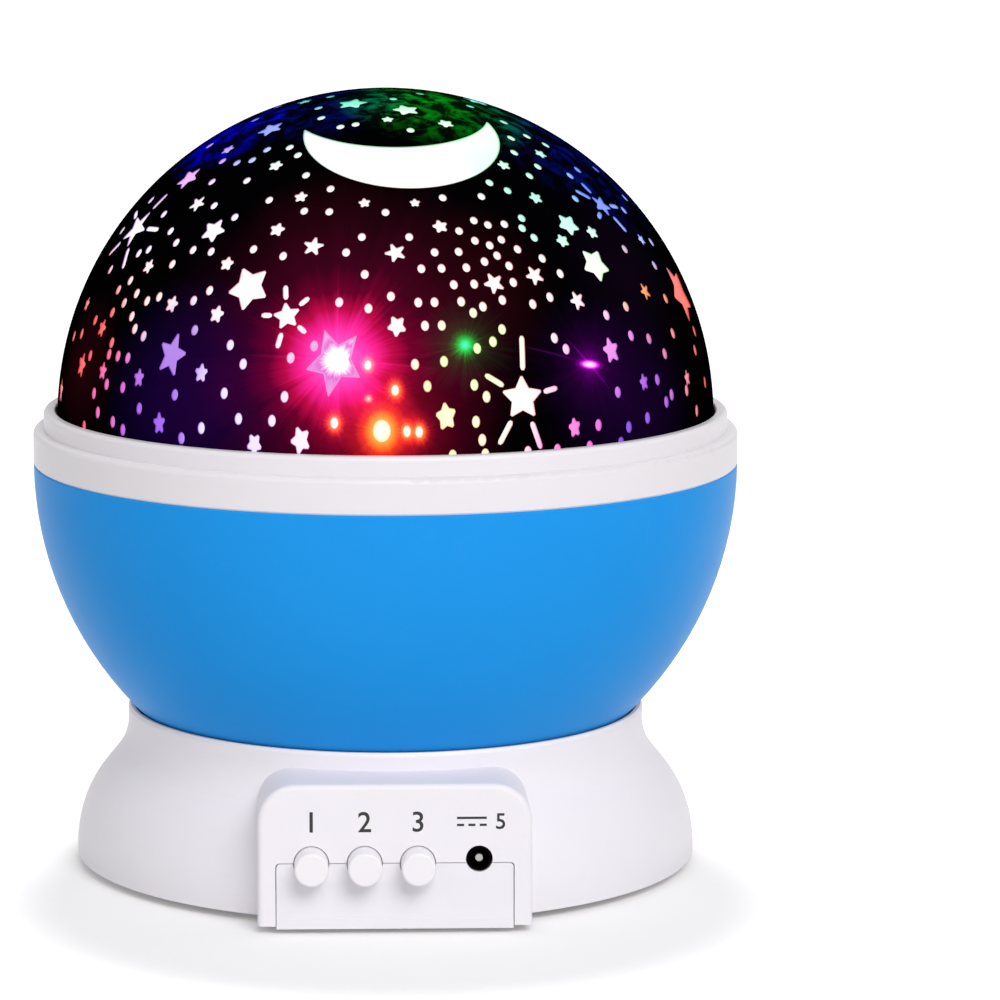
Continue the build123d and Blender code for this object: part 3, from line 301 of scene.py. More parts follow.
paint = {
    "white_shell": mouldedPlastic("whiteShell", (238, 234, 240), (234, 230, 236), 0.38),
    "plate_white": mouldedPlastic("plateWhite", (236, 233, 239), (231, 228, 234), 0.38),
    "button_white": mouldedPlastic("buttonWhite", (242, 238, 243), (239, 235, 240), 0.30, dust=0.1),
    "white_ring": mouldedPlastic("ringWhite", (232, 228, 233), (229, 225, 230), 0.32, dust=0.15),
    "blue_bowl": mouldedPlastic("bowlBlue", (32, 152, 234), (28, 147, 230), 0.35, relief=0.006,
                                dust=0.03, shine=0.06, paler=0.6),
    "tray_white": mouldedPlastic("trayWhite", (222, 222, 226), (214, 214, 219), 0.5),
    "inlet_black": mouldedPlastic("inletBlack", (4, 4, 6), (7, 7, 9), 0.5, dust=0.01, shine=0.01),
    "switch_black": mouldedPlastic("switchBlack", (30, 30, 33), (40, 40, 43), 0.5),
    "plunger_red": mouldedPlastic("plungerRed", (176, 48, 38), (160, 40, 32), 0.4),
    "nylon": mouldedPlastic("nylonWasher", (236, 232, 220), (228, 224, 212), 0.38),
    "gear_white": mouldedPlastic("gearAcetal", (238, 236, 226), (230, 228, 218), 0.3),
    "rubber": mouldedPlastic("footRubber", (96, 96, 100), (84, 84, 88), 0.75, grain=900.0, relief=0.05, shine=0.2),
    "wire_grey": mouldedPlastic("wireSleeve", (70, 70, 75), (88, 88, 92), 0.6, grain=1200.0, relief=0.04),
    "steel": drawnMetal("screwSteel", (196, 197, 201), (170, 171, 176), 0.22, (900.0, 7000.0, 900.0)),
    "motor_steel": drawnMetal("motorCan", (190, 191, 196), (168, 169, 175), 0.28, (900.0, 900.0, 7000.0)),
    "contact_metal": drawnMetal("contactNickel", (206, 204, 194), (184, 182, 172), 0.2, (7000.0, 900.0, 900.0)),
    "pin_metal": drawnMetal("pinNickel", (186, 184, 180), (166, 164, 160), 0.3, (5000.0, 500.0, 5000.0)),
    "gear_brass": drawnMetal("pinionBrass", (214, 176, 96), (196, 156, 78), 0.22, (900.0, 900.0, 7000.0)),
    "board_green": circuitBoard("circuitBoard"),
    "lamp_lens": epoxyLens("lensClear", (246, 246, 250)),
    "lamp_red": epoxyLens("lensRed", (240, 70, 60)),
    "lamp_green": epoxyLens("lensGreen", (70, 226, 110)),
    "lamp_blue": epoxyLens("lensBlue", (80, 110, 246)),
}
print("finishes made:", len(paint))

slotOf = {part["node"]: part["material_slot"] for part in frame["record"]["subparts"]}
for name, node in nodes.items():
    slot = slotOf[name]
    if slot == "cell_case":
        low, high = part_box(name)
        ends = (low.y, high.y) if int(name[-1]) % 2 else (high.y, low.y)
        finish = wrapped("sleeve_" + name, (44, 48, 58), (196, 148, 74), ends)
    elif slot in paint:
        finish = paint[slot]
    else:
        continue
    node.data.materials.clear()
    node.data.materials.append(finish)
print("CAD pieces painted")


# star dome: where things are on it
skinLow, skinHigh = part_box("star_skin")
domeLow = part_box("star_dome")[0]
dome = {
    "radius": (skinHigh.x - skinLow.x) / 2,
    "wall": 0.16 * millimetre,
    "underSkin": 0.20 * millimetre,  # the clear dome's face below the skin's
    "clearWall": 1.2 * millimetre,
    "patternTurn": -1.6,             # degrees, the whole pattern against the panel
    "sides": (0, 180),               # the pattern comes twice, degrees round
    "farTop": 62,                    # degrees up, no star above this on the far side
    "gap": 0.35,                     # least between two windows, millimetres
    "moonGap": 0.5,
    "roundFrom": 0.985,              # a face counts as round from this share of the outward direction
    "segments": 180,
    "rings": 90,
    "clearSegments": 200,
    "clearRings": 100,
}
dome["centre"] = Vector((0, 0, skinHigh.z - dome["radius"]))
dome["clearRadius"] = dome["radius"] - dome["underSkin"]


def axesAt(turn, up):
    # outward, sideways and poleward at a place on the dome
    level = radians(turn + dome["patternTurn"] - 90)
    outward = Vector((cos(radians(up)) * cos(level), cos(radians(up)) * sin(level), sin(radians(up))))
    sideways = Vector((-sin(level), cos(level), 0))
    return outward, sideways, outward.cross(sideways)


def outwardAt(turn, up):
    return axesAt(turn, up)[0]


def placeOnDome(turn, up, flat, spin=0.0):
    # a flat point, metres, laid round the dome about a direction; flat.z stands off the skin
    outward, sideways, poleward = axesAt(turn, up)
    heading = atan2(flat.y, flat.x) + radians(spin)
    along = sideways * cos(heading) + poleward * sin(heading)
    bow = hypot(flat.x, flat.y) / dome["radius"]
    return dome["centre"] + (outward * cos(bow) + along * sin(bow)) * (dome["radius"] + flat.z)


def spanBetween(first, second):
    # millimetres along the dome between two directions
    return acos(max(-1.0, min(1.0, first.dot(second)))) * dome["radius"] / millimetre


# stars: degrees round from the front, degrees up, size across, turn, waist (inner over outer)
stars = {
    "edge": 0.16 * millimetre,     # bevel round each window
    "tipWidth": 0.26,              # blunt tips, millimetres
    "fullness": 1.08,
    "reachShare": 0.52,            # a window's own reach over its size
    "lean": (35, 30, 0.4),         # below 35 degrees up they grow taller, by 0.4 over 30 degrees
    "places": [
        (-24, 76, 5.0, 8, 0.50), (12, 73, 4.4, 10, 0.50), (-70, 75, 2.4, 0, 0.46), (86, 74, 4.6, 0, 0.50),
        (-51, 64, 4.6, -12, 0.46), (1, 69, 1.8, 0, 0.50), (-59, 57, 2.4, 14, 0.48), (-63, 49, 5.0, -14, 0.46),
        (-33, 54, 2.4, 0, 0.48), (-50, 44, 3.4, -16, 0.34), (-40, 39, 4.6, -14, 0.48), (-21, 47, 2.2, 6, 0.46),
        (-5, 46, 1.8, 10, 0.48), (7, 46, 1.5, 0, 0.50), (-24, 40, 2.6, -6, 0.48), (-15, 37, 3.6, -6, 0.36),
        (2, 36, 3.6, 22, 0.36), (12, 41, 2.5, 12, 0.48), (-54, 31, 2.5, -10, 0.42), (-33, 33, 2.4, 0, 0.48),
        (-26.6, 29, 7.2, 33, 0.52), (-43, 25, 2.6, -8, 0.44), (-32, 24, 2.6, -6, 0.46), (-62, 19, 2.5, -10, 0.40),
        (-74, 22, 2.0, 0, 0.44), (2, 23, 3.0, 30, 0.50), (-40, 16.5, 5.9, -10, 0.42), (-33, 14, 2.4, 0, 0.46),
        (-67, 12, 3.2, -10, 0.42), (-58, 12, 2.2, 0, 0.42), (-47, 12, 2.3, 4, 0.44), (-79, 6, 3.0, 0, 0.42),
        (-41, 5, 2.6, 6, 0.44), (-22, 3, 2.5, 36, 0.50), (-14, 4, 3.2, 24, 0.50), (10, 8, 3.2, 8, 0.54),
        (21, 30, 3.6, 22, 0.38), (30, 31, 3.4, 22, 0.36), (36, 54, 2.2, 0, 0.46), (55, 56, 2.2, 10, 0.46),
        (39, 46, 2.4, 6, 0.46), (44, 40, 4.2, 24, 0.52), (50, 38, 2.4, 0, 0.48), (40, 37, 2.4, 12, 0.50),
        (68, 35, 2.0, 8, 0.44), (46, 32, 5.8, 30, 0.54), (58, 26, 2.6, 16, 0.32), (75, 24, 9.0, 20, 0.50),
        (38, 26, 3.0, 18, 0.36), (43, 17, 3.5, 6, 0.46), (50, 11, 2.0, 8, 0.46), (33, 5, 2.2, 8, 0.50),
        (65, 10, 1.9, 6, 0.42), (27, 67, 2.6, 10, 0.50),
    ],
    # stars with separate rays: each ray is its heading, its start and its end from the middle
    "rayed": [
        (-18, 24.4, 4.5, 14, 0.46, [(101, 3.5, 5.2), (45, 3.35, 4.5), (180, 3.2, 4.2), (-37, 3.3, 4.3),
                                    (-100, 3.6, 5.4)]),
        (23.4, 10.5, 7.1, -2, 0.48, [(84, 5.3, 10.4), (146, 4.55, 7.4), (11.5, 4.75, 6.6), (-121.5, 4.95, 8.6),
                                     (-70.5, 4.95, 9.0)]),
        (-68.5, 37.2, 7.4, -14, 0.36, [(78, 5.2, 7.9), (155, 5.1, 7.4), (8, 5.2, 8.4), (-134, 5.1, 8.0),
                                       (-58, 5.1, 8.6)]),
        (60.7, 42.9, 4.4, 30, 0.40, [(137, 3.2, 5.6), (95, 3.4, 5.0), (-8, 3.3, 5.2), (-150, 3.3, 4.4),
                                     (-72, 3.4, 6.0)]),
    ],
    "rayWidth": 0.7,
    # the large star before the pink lamp: place, then its five tips as reach and heading, waist
    "lampStar": ((-8.6, 17.0), [(5.7, 111), (5.6, 53), (4.9, -31), (6.0, -99), (5.0, -164)], 0.50),
    "lampStarReach": 3.3,
}
# round windows by height: degrees up, then degrees round from the front
dots = {
    "size": 1.15,
    "tall": (1.15, 0.35, 40, 35),  # height over width: least, more low down, from 40 degrees up over 35
    "rows": {
        82: (48,), 79: (7, -60), 73: (-43, 60), 71: (-87,), 69: (-32,), 67: (-13,), 66: (-74, -19, 60), 65: (10,),
        61: (50, 60), 59: (-33,), 58: (-41, 64), 57: (-75, -28, 44), 55: (-43,), 54: (-55, -48), 53: (48,),
        52: (-22,), 51: (42, 65), 50: (-39, 28, 58, 79), 49: (-51, -14), 48: (32,), 47: (14, 24), 46: (-29,),
        45: (52,), 44: (-44, -19, -13, 0), 43: (-73, 79), 42: (-36, 20, 32), 41: (-60, 23, 27, 70),
        40: (16, 31), 39: (-5, 5), 38: (-53, 19, 25, 33), 37: (22,), 36: (-77, -49, -28, -8, 10, 15, 28),
        35: (-43, -38, -21, 23), 34: (-57, 20, 33, 58, 73), 33: (-60, 7, 11, 16, 25), 32: (-47, -4),
        31: (36,), 30: (13, 17, 25, 67), 29: (-69,), 28: (-58, -35),
        27.7: (-13.3,), 28.1: (1,), 27: (-8.5, 6, 9, 14, 22, 32), 26: (-61, -54, -47, -38, -3.1, 18, 28),
        25: (-50, 16), 24: (-57, 50, 65), 23: (7, 10, 44), 22: (-60, -53, 21),
        21: (-36,), 20: (-66, -51, 19, 31, 73), 19: (-48, -28, 16, 49), 18: (33, 54, 63), 17: (-71, -57, 10, 75),
        16.6: (5,), 17.4: (-16.4,), 19.5: (-12.4,), 16.5: (-3,),
        16: (-76, -37, -25), 15: (-57, -54, -51, 58), 14: (-64, 72), 13: (7, 15), 12.4: (1.6,),
        11: (-28, -17, 17, 54), 10: (-56, -51, -38, 43), 8: (-60, 58, 64, 75), 7: (-46, -25, -19, -8.4, 15, 56),
        5.7: (3.5,), 5.6: (5.5,), 5: (-58, -32, 38, 50), 4: (-53, 16, 45, 68), 3: (-50, -36, 18), 2: (-63,),
        1.6: (11, 16.5, 24, 29.5, 36, 43),
    },
    "large": {5.8: (-0.6,)},       # the bright orange window
    "largeSize": 2.9,
    "largeTall": 1.27,
}
moon = {
    "place": (7, 66), "turn": 4, "radius": 17.5, "bite": 18.0, "shift": 11.2, "steps": 40, "edge": 0.28,
    "ends": (0.985, 0.970),        # blunt horns: how much of the way the wide and the narrow outline go
}
white = (255, 255, 255)

# colours that the lamps throw on the dome: degrees round, degrees up, window, bevel; the bevel colour is a painted
# fringe of glow on the black skin's window edges
glows = [
    (-20, 80, (80, 240, 200), (0, 120, 80)), (30, 78, (84, 240, 178), (0, 130, 60)),
    (82, 72, (96, 240, 216), (0, 110, 130)), (-50, 64, (146, 160, 255), (10, 40, 190)),
    (-65, 49, (235, 172, 246), (110, 40, 170)), (-70, 37, (255, 246, 255), (150, 70, 200)),
    (-62, 37, white, (150, 70, 190)),
    (-45, 42, white, (170, 70, 170)), (-20, 46, white, (150, 60, 90)),
    (5, 58, white, (90, 190, 90)), (46, 55, (206, 255, 240), (40, 190, 120)),
    (-25, 60, white, (120, 200, 160)), (-22, 63, white, (90, 190, 150)),
    (-10, 68, (250, 255, 252), (70, 236, 120)), (10, 72, (240, 255, 246), (60, 236, 100)),
    (30, 68, (248, 255, 250), (70, 236, 100)), (38, 62, (250, 255, 252), (70, 236, 120)),
    (10, 44, white, (150, 60, 60)), (22, 34, white, (216, 60, 46)),
    (41, 42, (196, 255, 240), (30, 180, 130)), (62, 44, (112, 146, 255), (20, 50, 200)),
    (68, 35, (180, 200, 248), (30, 60, 200)), (46, 32, (250, 255, 244), (80, 200, 90)),
    (58, 26, (255, 160, 84), (180, 66, 20)), (75, 24, (255, 98, 76), (170, 26, 26)),
    (38, 26, (255, 246, 250), (200, 70, 110)), (43, 17, (240, 136, 240), (150, 40, 170)),
    (52, 10, (168, 84, 230), (80, 20, 150)), (64, 14, (245, 140, 160), (170, 36, 80)),
    (78, 12, (255, 104, 84), (150, 20, 20)), (46, 2, (124, 76, 226), (50, 20, 140)),
    (33, 5, (255, 124, 220), (180, 20, 160)), (23, 10, white, (250, 120, 90)),
    (14, 15, (248, 255, 190), (90, 210, 20)), (10, 7, (255, 254, 216), (240, 170, 40)),
    (3, 9, (255, 238, 190), (255, 80, 30)), (-1, 5, (255, 250, 206), (255, 140, 20)),
    (1, 23, white, (230, 44, 84)), (-8, 17, (232, 110, 214), (255, 150, 236)),
    (-17, 26, white, (230, 60, 150)), (-29, 29, white, (230, 44, 100)),
    (-15, 5, (255, 242, 255), (220, 56, 170)), (-27, 12, (244, 230, 255), (140, 70, 214)),
    (-22, 3, (240, 226, 255), (130, 56, 210)), (-40, 16, (176, 124, 230), (110, 50, 190)),
    (-45, 7, (160, 90, 240), (84, 20, 170)), (-55, 9, (240, 112, 200), (170, 20, 116)),
    (-50, 26, (255, 244, 244), (230, 40, 40)), (-62, 18, (255, 96, 90), (200, 20, 20)),
    (-68, 10, (255, 92, 92), (190, 20, 20)), (-79, 6, (255, 156, 144), (180, 20, 20)),
    (-76, 24, (255, 140, 150), (170, 20, 40)),
]
glowSpread = 190.0             # higher keeps each colour nearer its own place
glowFarTop = 60                # degrees up, below this the far side glows the same
glowTable = [(outwardAt(turn + side, up), Vector(colour(*window)[:3]), Vector(colour(*bevel)[:3]))
             for side in dome["sides"] for turn, up, window, bevel in glows if side == 0 or up < glowFarTop]


def glowAt(point):
    outward = (point - dome["centre"]).normalized()
    window, bevel, total = Vector((0, 0, 0)), Vector((0, 0, 0)), 0.0
    for middle, windowColour, bevelColour in glowTable:
        weight = exp(-glowSpread * (1 - outward.dot(middle)))
        window += windowColour * weight
        bevel += bevelColour * weight
        total += weight
    return window / total, bevel / total


def shellOfRevolution(name, radius, wall, hem, segments, rings):
    deselectAll()
    bpy.ops.mesh.primitive_uv_sphere_add(segments=segments, ring_count=rings, radius=radius,
                                         location=dome["centre"])
    piece = bpy.context.object
    piece.name = name
    editWhole(piece)
    bpy.ops.mesh.bisect(plane_co=dome["centre"], plane_no=(0, 0, 1), clear_inner=True)
    bpy.ops.mesh.select_all(action="DESELECT")
    bpy.ops.mesh.select_non_manifold()
    bpy.ops.mesh.extrude_edges_move(TRANSFORM_OT_translate={"value": (0, 0, hem - dome["centre"].z)})
    bpy.ops.mesh.select_all(action="SELECT")
    bpy.ops.mesh.remove_doubles(threshold=0.001 * millimetre)
    leaveOutward()
    settle(piece)
    wallModifier = piece.modifiers.new("wall", "SOLIDIFY")
    wallModifier.thickness = wall
    wallModifier.offset = -1.0
    wallModifier.use_even_offset = True
    bpy.ops.object.modifier_apply(modifier="wall")
    return piece


def starOutline(size, waist, spin, spread=0.0):
    # fifteen corners in millimetres, each tip blunt; spread pushes the sides out evenly
    waist = waist * stars["fullness"]
    halfTip = atan2(waist * sin(radians(36)), 1 - waist * cos(radians(36)))
    blunt = (stars["tipWidth"] / 2 + spread * 0.5) / sin(halfTip)
    reach = size / (2 * sin(radians(72))) + spread / sin(halfTip) + stars["tipWidth"] / 2
    corners = [flatAt(90 + spin + 36 * k) * (reach if k % 2 == 0 else reach * waist) for k in range(10)]
    outline = []
    for k in range(0, 10, 2):
        tip = corners[k]
        share = min(0.4, blunt / (corners[k + 1] - tip).length)
        if k:
            outline.append(tip.lerp(corners[k - 1], share))
        outline += [tip.lerp(corners[k + 1], share), corners[k + 1]]
    return outline + [corners[0].lerp(corners[9], share)]


def dotOutline(size, spread=0.0):
    return [Vector((cos(pi * k / 7), sin(pi * k / 7), 0)) * (size / 2 + spread) for k in range(14)]


def barOutline(heading, start, end, width, spread=0.0):
    # a ray with round ends, eight corners
    along = flatAt(heading)
    across = Vector((-along.y, along.x, 0)) * (width / 2 + spread)
    near, far = along * start, along * end
    bulge = along * (width / 2 + spread)
    return [near - across, far - across, far + bulge - across * 0.5, far + bulge + across * 0.5,
            far + across, near + across, near - bulge + across * 0.5, near - bulge - across * 0.5]


# a cutter in four levels, millimetres off the skin: wide down to the skin, then a bevel, then narrow
drillLevels = (1.2, 0.0, -dome["wall"] / millimetre, -1.6)


def drillBlank(piece, spotAt):
    # three steps down from the blank's face, then every corner goes to its place level by level
    editWhole(piece)
    for step in range(len(drillLevels) - 1):
        bpy.ops.mesh.extrude_region_move(TRANSFORM_OT_translate={"value": (0, 0, -1)})
    leaveOutward()
    for vertex in piece.data.vertices:
        level = round(-vertex.co.z)
        spot = spotAt(vertex.co, level < 2)
        vertex.co = Vector((spot.x, spot.y, drillLevels[level])) * millimetre
    editWhole(piece)
    leaveOutward()


def windowShape(name, wide, narrow):
    # a blank with one corner per outline point
    corners = len(wide)

    def spotAt(corner, isWide):
        index = round((atan2(corner.y, corner.x) - pi / 2) / (2 * pi / corners)) % corners
        return (wide if isWide else narrow)[index]

    deselectAll()
    bpy.ops.mesh.primitive_circle_add(vertices=corners, radius=1, fill_type="NGON")
    piece = bpy.context.object
    piece.name = name
    drillBlank(piece, spotAt)
    return piece


def wrapCutter(piece, turn, up, spin=0.0, tall=1.0):
    for vertex in piece.data.vertices:
        flat = vertex.co
        vertex.co = placeOnDome(turn, up, Vector((flat.x, flat.y * tall, flat.z)), spin)


def crescentSpot(swing, share, spread):
    # swing -1 to 1 from horn to horn, share 0 on the outer arc and 1 on the bite
    outerRadius = moon["radius"] + spread
    biteRadius = moon["bite"] - spread
    hornHeight = (outerRadius ** 2 - biteRadius ** 2 + moon["shift"] ** 2) / (2 * moon["shift"])
    outerSwing = swing * (pi / 2 + asin(hornHeight / outerRadius))
    biteSwing = swing * (pi / 2 + asin((hornHeight - moon["shift"]) / biteRadius))
    outer = Vector((sin(outerSwing), -cos(outerSwing), 0)) * outerRadius
    inner = Vector((sin(biteSwing), -cos(biteSwing), 0)) * biteRadius + Vector((0, moon["shift"], 0))
    return outer.lerp(inner, share)


def moonCutter():
    # a strip bent into a crescent between two arcs
    def spotAt(corner, isWide):
        return crescentSpot(corner.x * moon["ends"][0 if isWide else 1], (corner.y + 1) / 2,
                            moon["edge"] if isWide else 0.0)

    deselectAll()
    bpy.ops.mesh.primitive_grid_add(x_subdivisions=moon["steps"], y_subdivisions=4, size=2)
    piece = bpy.context.object
    piece.name = "moonCutter"
    drillBlank(piece, spotAt)
    wrapCutter(piece, moon["place"][0], moon["place"][1], moon["turn"])
    return piece


def clearOfMoon(outward, margin):
    middle, sideways, poleward = axesAt(*moon["place"])
    heading = atan2(outward.dot(poleward), outward.dot(sideways)) - radians(moon["turn"])
    reach = spanBetween(outward, middle)
    spot = Vector((reach * cos(heading), reach * sin(heading)))
    fromBite = (spot - Vector((0, moon["shift"]))).length
    return spot.length > moon["radius"] + margin or fromBite < moon["bite"] - margin


# star skin: black shell with every window cut through
print("cutting the star skin")
taken = []                     # outward direction and reach, millimetres, of each window so far
cutters = [moonCutter()]
edge = stars["edge"] / millimetre


def isFree(turn, up, reach):
    outward = outwardAt(turn, up)
    if not clearOfMoon(outward, reach + dome["moonGap"]):
        return False
    if any(spanBetween(outward, other) < reach + otherReach + dome["gap"] for other, otherReach in taken):
        return False
    taken.append((outward, reach))
    return True


def cutWindow(piece, turn, up, tall=1.0):
    wrapCutter(piece, turn, up, tall=tall)
    cutters.append(piece)


def cutStar(turn, up, size, spin, waist, tall=1.0):
    cutWindow(windowShape("starCutter", starOutline(size, waist, spin, edge), starOutline(size, waist, spin)),
              turn, up, tall)


def lampStarOutline(spread):
    # five tips of their own reach and heading, waists between them
    tips, waist = stars["lampStar"][1:]
    spots = []
    for k, (reach, heading) in enumerate(tips):
        nextReach, nextHeading = tips[k - 1]
        turned = (nextHeading - heading + 180) % 360 - 180
        spots.append((reach + 2 * spread, heading))
        spots.append(((reach + nextReach) / 2 * waist + spread, heading + turned / 2))
    spots.sort(key=lambda spot: (spot[1] - 90) % 360)
    return [flatAt(heading) * reach for reach, heading in spots]


# the lamp's own star comes first, so that nothing else is set on it
for side in dome["sides"]:
    turn, up = stars["lampStar"][0]
    isFree(turn + side, up, stars["lampStarReach"])
    cutWindow(windowShape("lampStarCutter", lampStarOutline(edge), lampStarOutline(-2 * edge)), turn + side, up)

for side in dome["sides"]:
    for turn, up, size, spin, waist in stars["places"]:
        if (side == 0 or up < dome["farTop"]) and isFree(turn + side, up, size * stars["reachShare"]):
            top, span, growth = stars["lean"]
            cutStar(turn + side, up, size, spin, waist, 1 + growth * clampShare((top - up) / span))
    for turn, up, size, spin, waist, rays in stars["rayed"]:
        if isFree(turn + side, up, size * stars["reachShare"]):
            cutStar(turn + side, up, size, spin, waist)
            for ray in rays:
                cutWindow(windowShape("rayCutter", barOutline(*ray, stars["rayWidth"], edge),
                                      barOutline(*ray, stars["rayWidth"])), turn + side, up)

dotBlank = {label: windowShape(label + "DotCutter", dotOutline(size, edge), dotOutline(size))
            for label, size in (("small", dots["size"]), ("large", dots["largeSize"]))}
# the rays keep round windows off
for side in dome["sides"]:
    for turn, up, size, spin, waist, rays in stars["rayed"]:
        for heading, start, end in rays:
            for along in (0.0, 0.5, 1.0):
                flat = flatAt(heading) * (start + (end - start) * along) * millimetre
                spot = placeOnDome(turn + side, up, flat)
                taken.append(((spot - dome["centre"]).normalized(), stars["rayWidth"]))
dotCount = 0
for side in dome["sides"]:
    for label, rows in (("large", dots["large"]), ("small", dots["rows"])):
        for up, turns in rows.items():
            for turn in turns:
                size = dots["largeSize"] if label == "large" else dots["size"]
                least, more, top, span = dots["tall"]
                tall = least + more * clampShare((top - up) / span) if label == "small" else dots["largeTall"]
                if isFree(turn + side, up, size / 2 * tall):
                    piece = dotBlank[label].copy()
                    piece.data = piece.data.copy()
                    bpy.context.scene.collection.objects.link(piece)
                    cutWindow(piece, turn + side, up, tall)
                    dotCount += 1
for piece in dotBlank.values():
    bpy.data.objects.remove(piece)
print("windows:", len(cutters), "of which round:", dotCount)

windowCutter = joinAll(cutters, "windowCutter")

starSkin = shellOfRevolution("starSkin", dome["radius"], dome["wall"], skinLow.z, dome["segments"],
                             dome["rings"])
skinBlack = bpy.data.materials.new("skinBlack")
windowBevel = bpy.data.materials.new("windowBevel")
starSkin.data.materials.append(skinBlack)
windowCutter.data.materials.append(windowBevel)
cut = starSkin.modifiers.new("windows", "BOOLEAN")
cut.operation = "DIFFERENCE"
cut.solver = "EXACT"
cut.use_self = True
cut.material_mode = "TRANSFER"
cut.object = windowCutter
makeActive(starSkin)
bpy.ops.object.modifier_apply(modifier="windows")
bpy.data.objects.remove(windowCutter)
print("star skin faces:", len(starSkin.data.polygons))


def roundNormals(piece):
    # the skin's faces take the true round normals, so that long faces between windows don't show
    mesh = piece.data
    for face in mesh.polygons:
        face.use_smooth = True
    normals = [None] * len(mesh.loops)
    for face in mesh.polygons:
        radial = face.center - dome["centre"]
        onSphere = radial.z > 0 and abs(face.normal.dot(radial.normalized())) > dome["roundFrom"]
        for loop in face.loop_indices:
            corner = mesh.vertices[mesh.loops[loop].vertex_index].co - dome["centre"]
            if onSphere:
                normal = corner.normalized()
                normals[loop] = normal if face.normal.dot(radial) > 0 else -normal
            else:
                normals[loop] = face.normal.copy()
    mesh.normals_split_custom_set(normals)


def paintGlow(piece, attribute):
    # the painted fringe colour at the skin's outer face, the window's own from its inner face down
    mesh = piece.data
    layer = mesh.color_attributes.new(attribute, "FLOAT_COLOR", "POINT")
    for index, vertex in enumerate(mesh.vertices):
        windowColour, fringe = glowAt(vertex.co)
        depth = (dome["radius"] - (vertex.co - dome["centre"]).length) / dome["wall"]
        value = fringe.lerp(windowColour, clampShare(depth))
        layer.data[index].color = (value.x, value.y, value.z, 1.0)


roundNormals(starSkin)
paintGlow(starSkin, "bevelGlow")

# painted glow: lamp light that shines through the thin black skin, painted on it as emission: degrees round,
# degrees up, reach in degrees, fall-off, colour
shineThroughGlows = [
    (-35, 10, 22, 1.6, (20, 0, 50)), (-2, 12, 24, 1.5, (50, 0, 10)), (46, 8, 19, 1.7, (20, 0, 36)),
    (-72, 61, 13, 1.1, (0, 0, 220)), (-10, 34, 22, 1.8, (34, 2, 6)), (72, 54, 20, 1.5, (0, 16, 110)),
    (40, 75, 18, 1.1, (6, 130, 20)), (16, 79, 13, 1.2, (2, 80, 16)), (-44, 74, 16, 1.4, (0, 16, 100)),
    (15, 30, 18, 1.8, (32, 2, 4)), (-66, 12, 14, 1.8, (28, 2, 6)), (54, 30, 16, 1.6, (10, 2, 14)),
]
mottledFrom = 50               # degrees up, the painted glows above this are mottled
# painted glare round each lamp and hot window, laid on the black skin as emission: rings are millimetres from the
# middle and a colour
lamps = [
    {"place": (-8.2, 17.3), "ragged": 0.34, "count": 3.4,
     "rings": [(0, (255, 120, 210)), (4, (255, 70, 190)), (6.5, (246, 34, 142)), (9, (186, 10, 70)),
               (12, (98, 0, 38)), (16.5, (48, 0, 22)), (25, (18, 0, 8)), (34, (0, 0, 0))]},
    {"place": (-0.6, 5.8), "stretch": (1, 1.2), "ragged": 0.2, "count": 7.0,
     "rings": [(0, (255, 200, 90)), (1.7, (255, 170, 60)), (2.5, (255, 120, 30)), (3.2, (240, 56, 20)),
               (4.6, (160, 18, 16)), (7.5, (80, 4, 8)), (13, (34, 0, 4)), (20, (0, 0, 0))]},
    # painted green glare on the skin, where no window is
    {"place": (13.9, 19.6), "ragged": 0.7, "count": 6.0,
     "rings": [(0, (90, 255, 210)), (0.7, (0, 245, 140)), (1.2, (0, 190, 66)), (2.0, (0, 96, 28)),
               (3.0, (0, 42, 12)), (5, (0, 20, 6)), (8.5, (0, 0, 0))]},
    {"place": (37.5, 15.1), "ragged": 0.5, "count": 5.0,
     "rings": [(0, (130, 10, 140)), (1.4, (90, 0, 104)), (2.8, (54, 0, 66)), (4.6, (30, 0, 40)),
               (8, (12, 0, 20)), (13, (0, 0, 0))]},
    # a painted glint of the purple lamp, then painted streaks of flare out of it
    {"place": (37.5, 15.1), "tilt": -8, "stretch": (1.7, 0.6),
     "rings": [(0, (255, 240, 255)), (0.6, (255, 200, 255)), (1.0, (225, 50, 230)), (1.4, (110, 0, 120)),
               (2.0, (0, 0, 0))]},
    {"place": (37.5, 15.1), "tilt": -51, "stretch": (6.4, 0.3),
     "rings": [(0, (150, 20, 160)), (0.5, (84, 0, 100)), (1, (0, 0, 0))]},
    {"place": (31, 17.2), "tilt": -17, "stretch": (8, 0.25), "rings": [(0, (66, 0, 84)), (1, (0, 0, 0))]},
    # a painted point of glare on the skin, where no window is
    {"place": (-2.8, 11.0), "ragged": 0.8, "count": 5.0,
     "rings": [(0, (255, 244, 230)), (0.35, (255, 150, 120)), (0.8, (190, 30, 40)), (1.5, (80, 0, 18)),
               (2.4, (0, 0, 0))]},
]
hotDots = [(1.6, 12.4), (3.5, 5.7), (5.5, 5.6), (-3.0, 16.5), (-8.4, 7.0)]
lamps += [{"place": place, "stretch": (1, 1.3), "ragged": 0.5, "count": 7.0,
           "rings": [(0, (255, 190, 110)), (0.85, (255, 120, 50)), (1.3, (210, 46, 22)), (1.9, (104, 8, 14)),
                     (3.0, (34, 0, 4)), (4.4, (0, 0, 0))]} for place in hotDots]
# painted streaks of lens flare across the pink lamp
lamps += [{"place": (-8.2, 17.3), "tilt": tilt, "stretch": (length, 0.28),
           "rings": [(0, (150, 30, 90)), (0.55, (110, 8, 56)), (1, (0, 0, 0))]}
          for tilt, length in ((48, 15), (-3, 17), (93, 16), (24, 14))]
